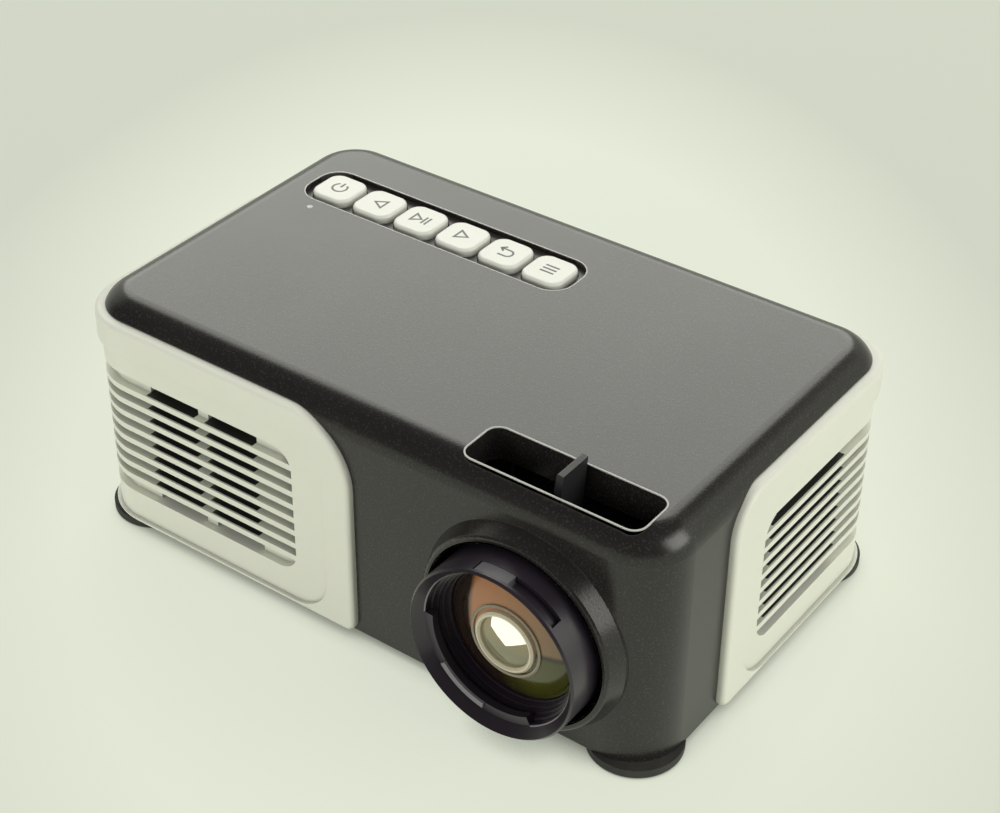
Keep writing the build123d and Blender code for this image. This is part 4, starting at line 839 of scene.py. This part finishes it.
class PROJECTOR_OT_stage(bpy.types.Operator):
    """Pale floor, even world, soft lights and the camera"""

    bl_idname = "projector.stage"
    bl_label = "Stage"

    def floor(self, studio):
        shape = Shape()
        reach, rise, lip = 1.6, 0.9, 0.5
        section = [(-reach, 0.0), (reach - lip, 0.0)]
        section += [(reach - lip + lip * math.sin(math.radians(a)),
                     lip - lip * math.cos(math.radians(a))) for a in range(15, 91, 15)]
        section.append((reach, rise))
        rows = [[shape.point(x, y, z) for y, z in section] for x in (-2.4, 2.4)]
        for index in range(len(section) - 1):
            shape.work.faces.new((rows[0][index], rows[1][index], rows[1][index + 1],
                                  rows[0][index + 1]))
        mesh = bpy.data.meshes.new("floor")
        shape.work.to_mesh(mesh)
        shape.work.free()
        mesh.shade_smooth()
        floor = bpy.data.objects.new("floor", mesh)
        bpy.context.scene.collection.objects.link(floor)
        pale = tuple(studio.backdrop)
        finish = Finish("floor_paint", pale, 0.9, Specular_IOR_Level=0.1)
        # the floor is painted paler round the object and darker further off: a painted pool of
        # light
        turned = finish.node("ShaderNodeMapping", {"vector_type": "TEXTURE"}, Vector=finish.place(),
                             Location=(-0.02, 0.028, 0.0), Rotation=(0.0, 0.0, studio.azimuth),
                             Scale=(0.62, 1.0, 1.0)).out()
        spot = finish.node("ShaderNodeVectorMath", {"operation": "LENGTH"}, turned).out("Value")
        far = ((spot - 0.13) * 14 + finish.noise(4, 2) * 0.02).clamped()
        paint = finish.blend(far, pale, tone(pale, studio.distant))
        # ambient occlusion darkens the floor's glow next to the object: a painted contact shadow
        near = finish.node("ShaderNodeAmbientOcclusion", {"samples": 8}, Distance=0.008).out("AO")
        glow = finish.blend((near * 1.5).clamped(), (0, 0, 0), paint)
        seen = self.seen(finish)
        finish.feed("Base Color", finish.blend(seen * (1 - studio.shadow), paint, (0, 0, 0)))
        finish.feed("Emission Color", finish.blend(seen, (0, 0, 0), glow))
        finish.shader.inputs["Emission Strength"].default_value = studio.floor_glow
        mesh.materials.append(finish.material)

    def seen(self, finish):
        """One where the camera, a gloss or a glass looks, nought where light is gathered."""
        path = finish.node("ShaderNodeLightPath", {})
        return (path.out("Is Camera Ray") + path.out("Is Glossy Ray")
                + path.out("Is Transmission Ray")).clamped()

    def world(self, studio):
        world = bpy.data.worlds.new("studio")
        bpy.context.scene.world = world
        sky = Backdrop(world)
        pale = tuple(studio.backdrop)
        around = sky.node("ShaderNodeTexCoord", {}).out("Generated")
        way = sky.node("ShaderNodeSeparateXYZ", {}, around)
        behind = ((way.out("Y") + 0.35) * 2).clamped() * ((0.75 - way.out("Z")) * 4).clamped()
        room = sky.blend(behind, tone(pale, 0.06), pale)
        even = tone((1.0, 1.0, 0.97), studio.ambient)
        sky.feed("Color", sky.blend(self.seen(sky), even, room))
        sky.feed("Strength", 1.0)

    def lamp(self, name, place, size, power, mirrored=True, aim=(0, 0, 0.02)):
        light = bpy.data.lights.new(name, "AREA")
        light.shape = "RECTANGLE"
        light.size, light.size_y = size
        light.energy = power
        light.color = (1.0, 1.0, 0.94)
        lamp = bpy.data.objects.new(name, light)
        bpy.context.scene.collection.objects.link(lamp)
        lamp.location = place
        lamp.rotation_mode = "QUATERNION"
        lamp.rotation_quaternion = (Vector(aim) - Vector(place)).to_track_quat("-Z", "Y")
        lamp.visible_glossy = mirrored

    def camera(self, studio):
        turn, rise, roll = studio.azimuth, studio.elevation, studio.roll
        back = Vector((math.sin(turn) * math.cos(rise), -math.cos(turn) * math.cos(rise),
                       math.sin(rise)))
        side = (-back).cross(Vector((0, 0, 1))).normalized()
        up = side.cross(-back)
        right = math.cos(roll) * side + math.sin(roll) * up
        above = math.cos(roll) * up - math.sin(roll) * side
        lens = bpy.data.cameras.new("camera")
        lens.lens = studio.lens
        lens.sensor_width = 36
        lens.shift_x = studio.shift
        lens.clip_start, lens.clip_end = 0.01, 20
        camera = bpy.data.objects.new("camera", lens)
        bpy.context.scene.collection.objects.link(camera)
        camera.rotation_mode = "QUATERNION"
        camera.rotation_quaternion = Matrix((right, above, back)).transposed().to_quaternion()
        camera.location = BODY_MID + Vector(studio.target) + back * studio.distance
        bpy.context.scene.camera = camera

    def execute(self, context):
        studio = context.scene.projector_studio
        context.scene.view_settings.view_transform = "Standard"
        self.floor(studio)
        self.world(studio)
        self.lamp("rear_soft", (-0.55, 0.75, 0.7), (1.1, 0.8), studio.rear_light)
        self.lamp("side_soft", (0.95, 0.2, 0.45), (0.7, 0.7), studio.side_light)
        self.lamp("front_soft", (-0.2, -1.2, 0.35), (0.9, 0.5), studio.front_light, mirrored=False)
        self.camera(studio)
        return {"FINISHED"}


class PROJECTOR_PT_sidebar(bpy.types.Panel):
    """Lists the projector's settings and pieces"""

    bl_idname = "PROJECTOR_PT_sidebar"
    bl_label = "Projector"
    bl_space_type = "VIEW_3D"
    bl_region_type = "UI"
    bl_category = "Projector"

    def draw(self, context):
        for name in PROPERTIES:
            box = self.layout.box()
            group = getattr(context.scene, name)
            for setting in group.__annotations__:
                box.prop(group, setting)
        for operator in PIECES:
            self.layout.operator(operator.bl_idname)


PROPERTIES = {
    "projector_finishes": ProjectorFinishes,
    "projector_signs": ProjectorSigns,
    "projector_optics": ProjectorOptics,
    "projector_studio": ProjectorStudio,
}
PIECES = (
    PROJECTOR_OT_finishes,
    PROJECTOR_OT_key_signs,
    PROJECTOR_OT_optics,
    PROJECTOR_OT_trims,
    PROJECTOR_OT_stage,
)


def register():
    for entry in (*PROPERTIES.values(), *PIECES, PROJECTOR_PT_sidebar):
        bpy.utils.register_class(entry)
    for name, group in PROPERTIES.items():
        setattr(bpy.types.Scene, name, PointerProperty(type=group))


def unregister():
    for name in PROPERTIES:
        delattr(bpy.types.Scene, name)
    for entry in reversed((*PROPERTIES.values(), *PIECES, PROJECTOR_PT_sidebar)):
        bpy.utils.unregister_class(entry)


def main():
    register()
    for operator in PIECES:
        group, call = operator.bl_idname.split(".")
        getattr(getattr(bpy.ops, group), call)()


if __name__ == "__main__":
    main()
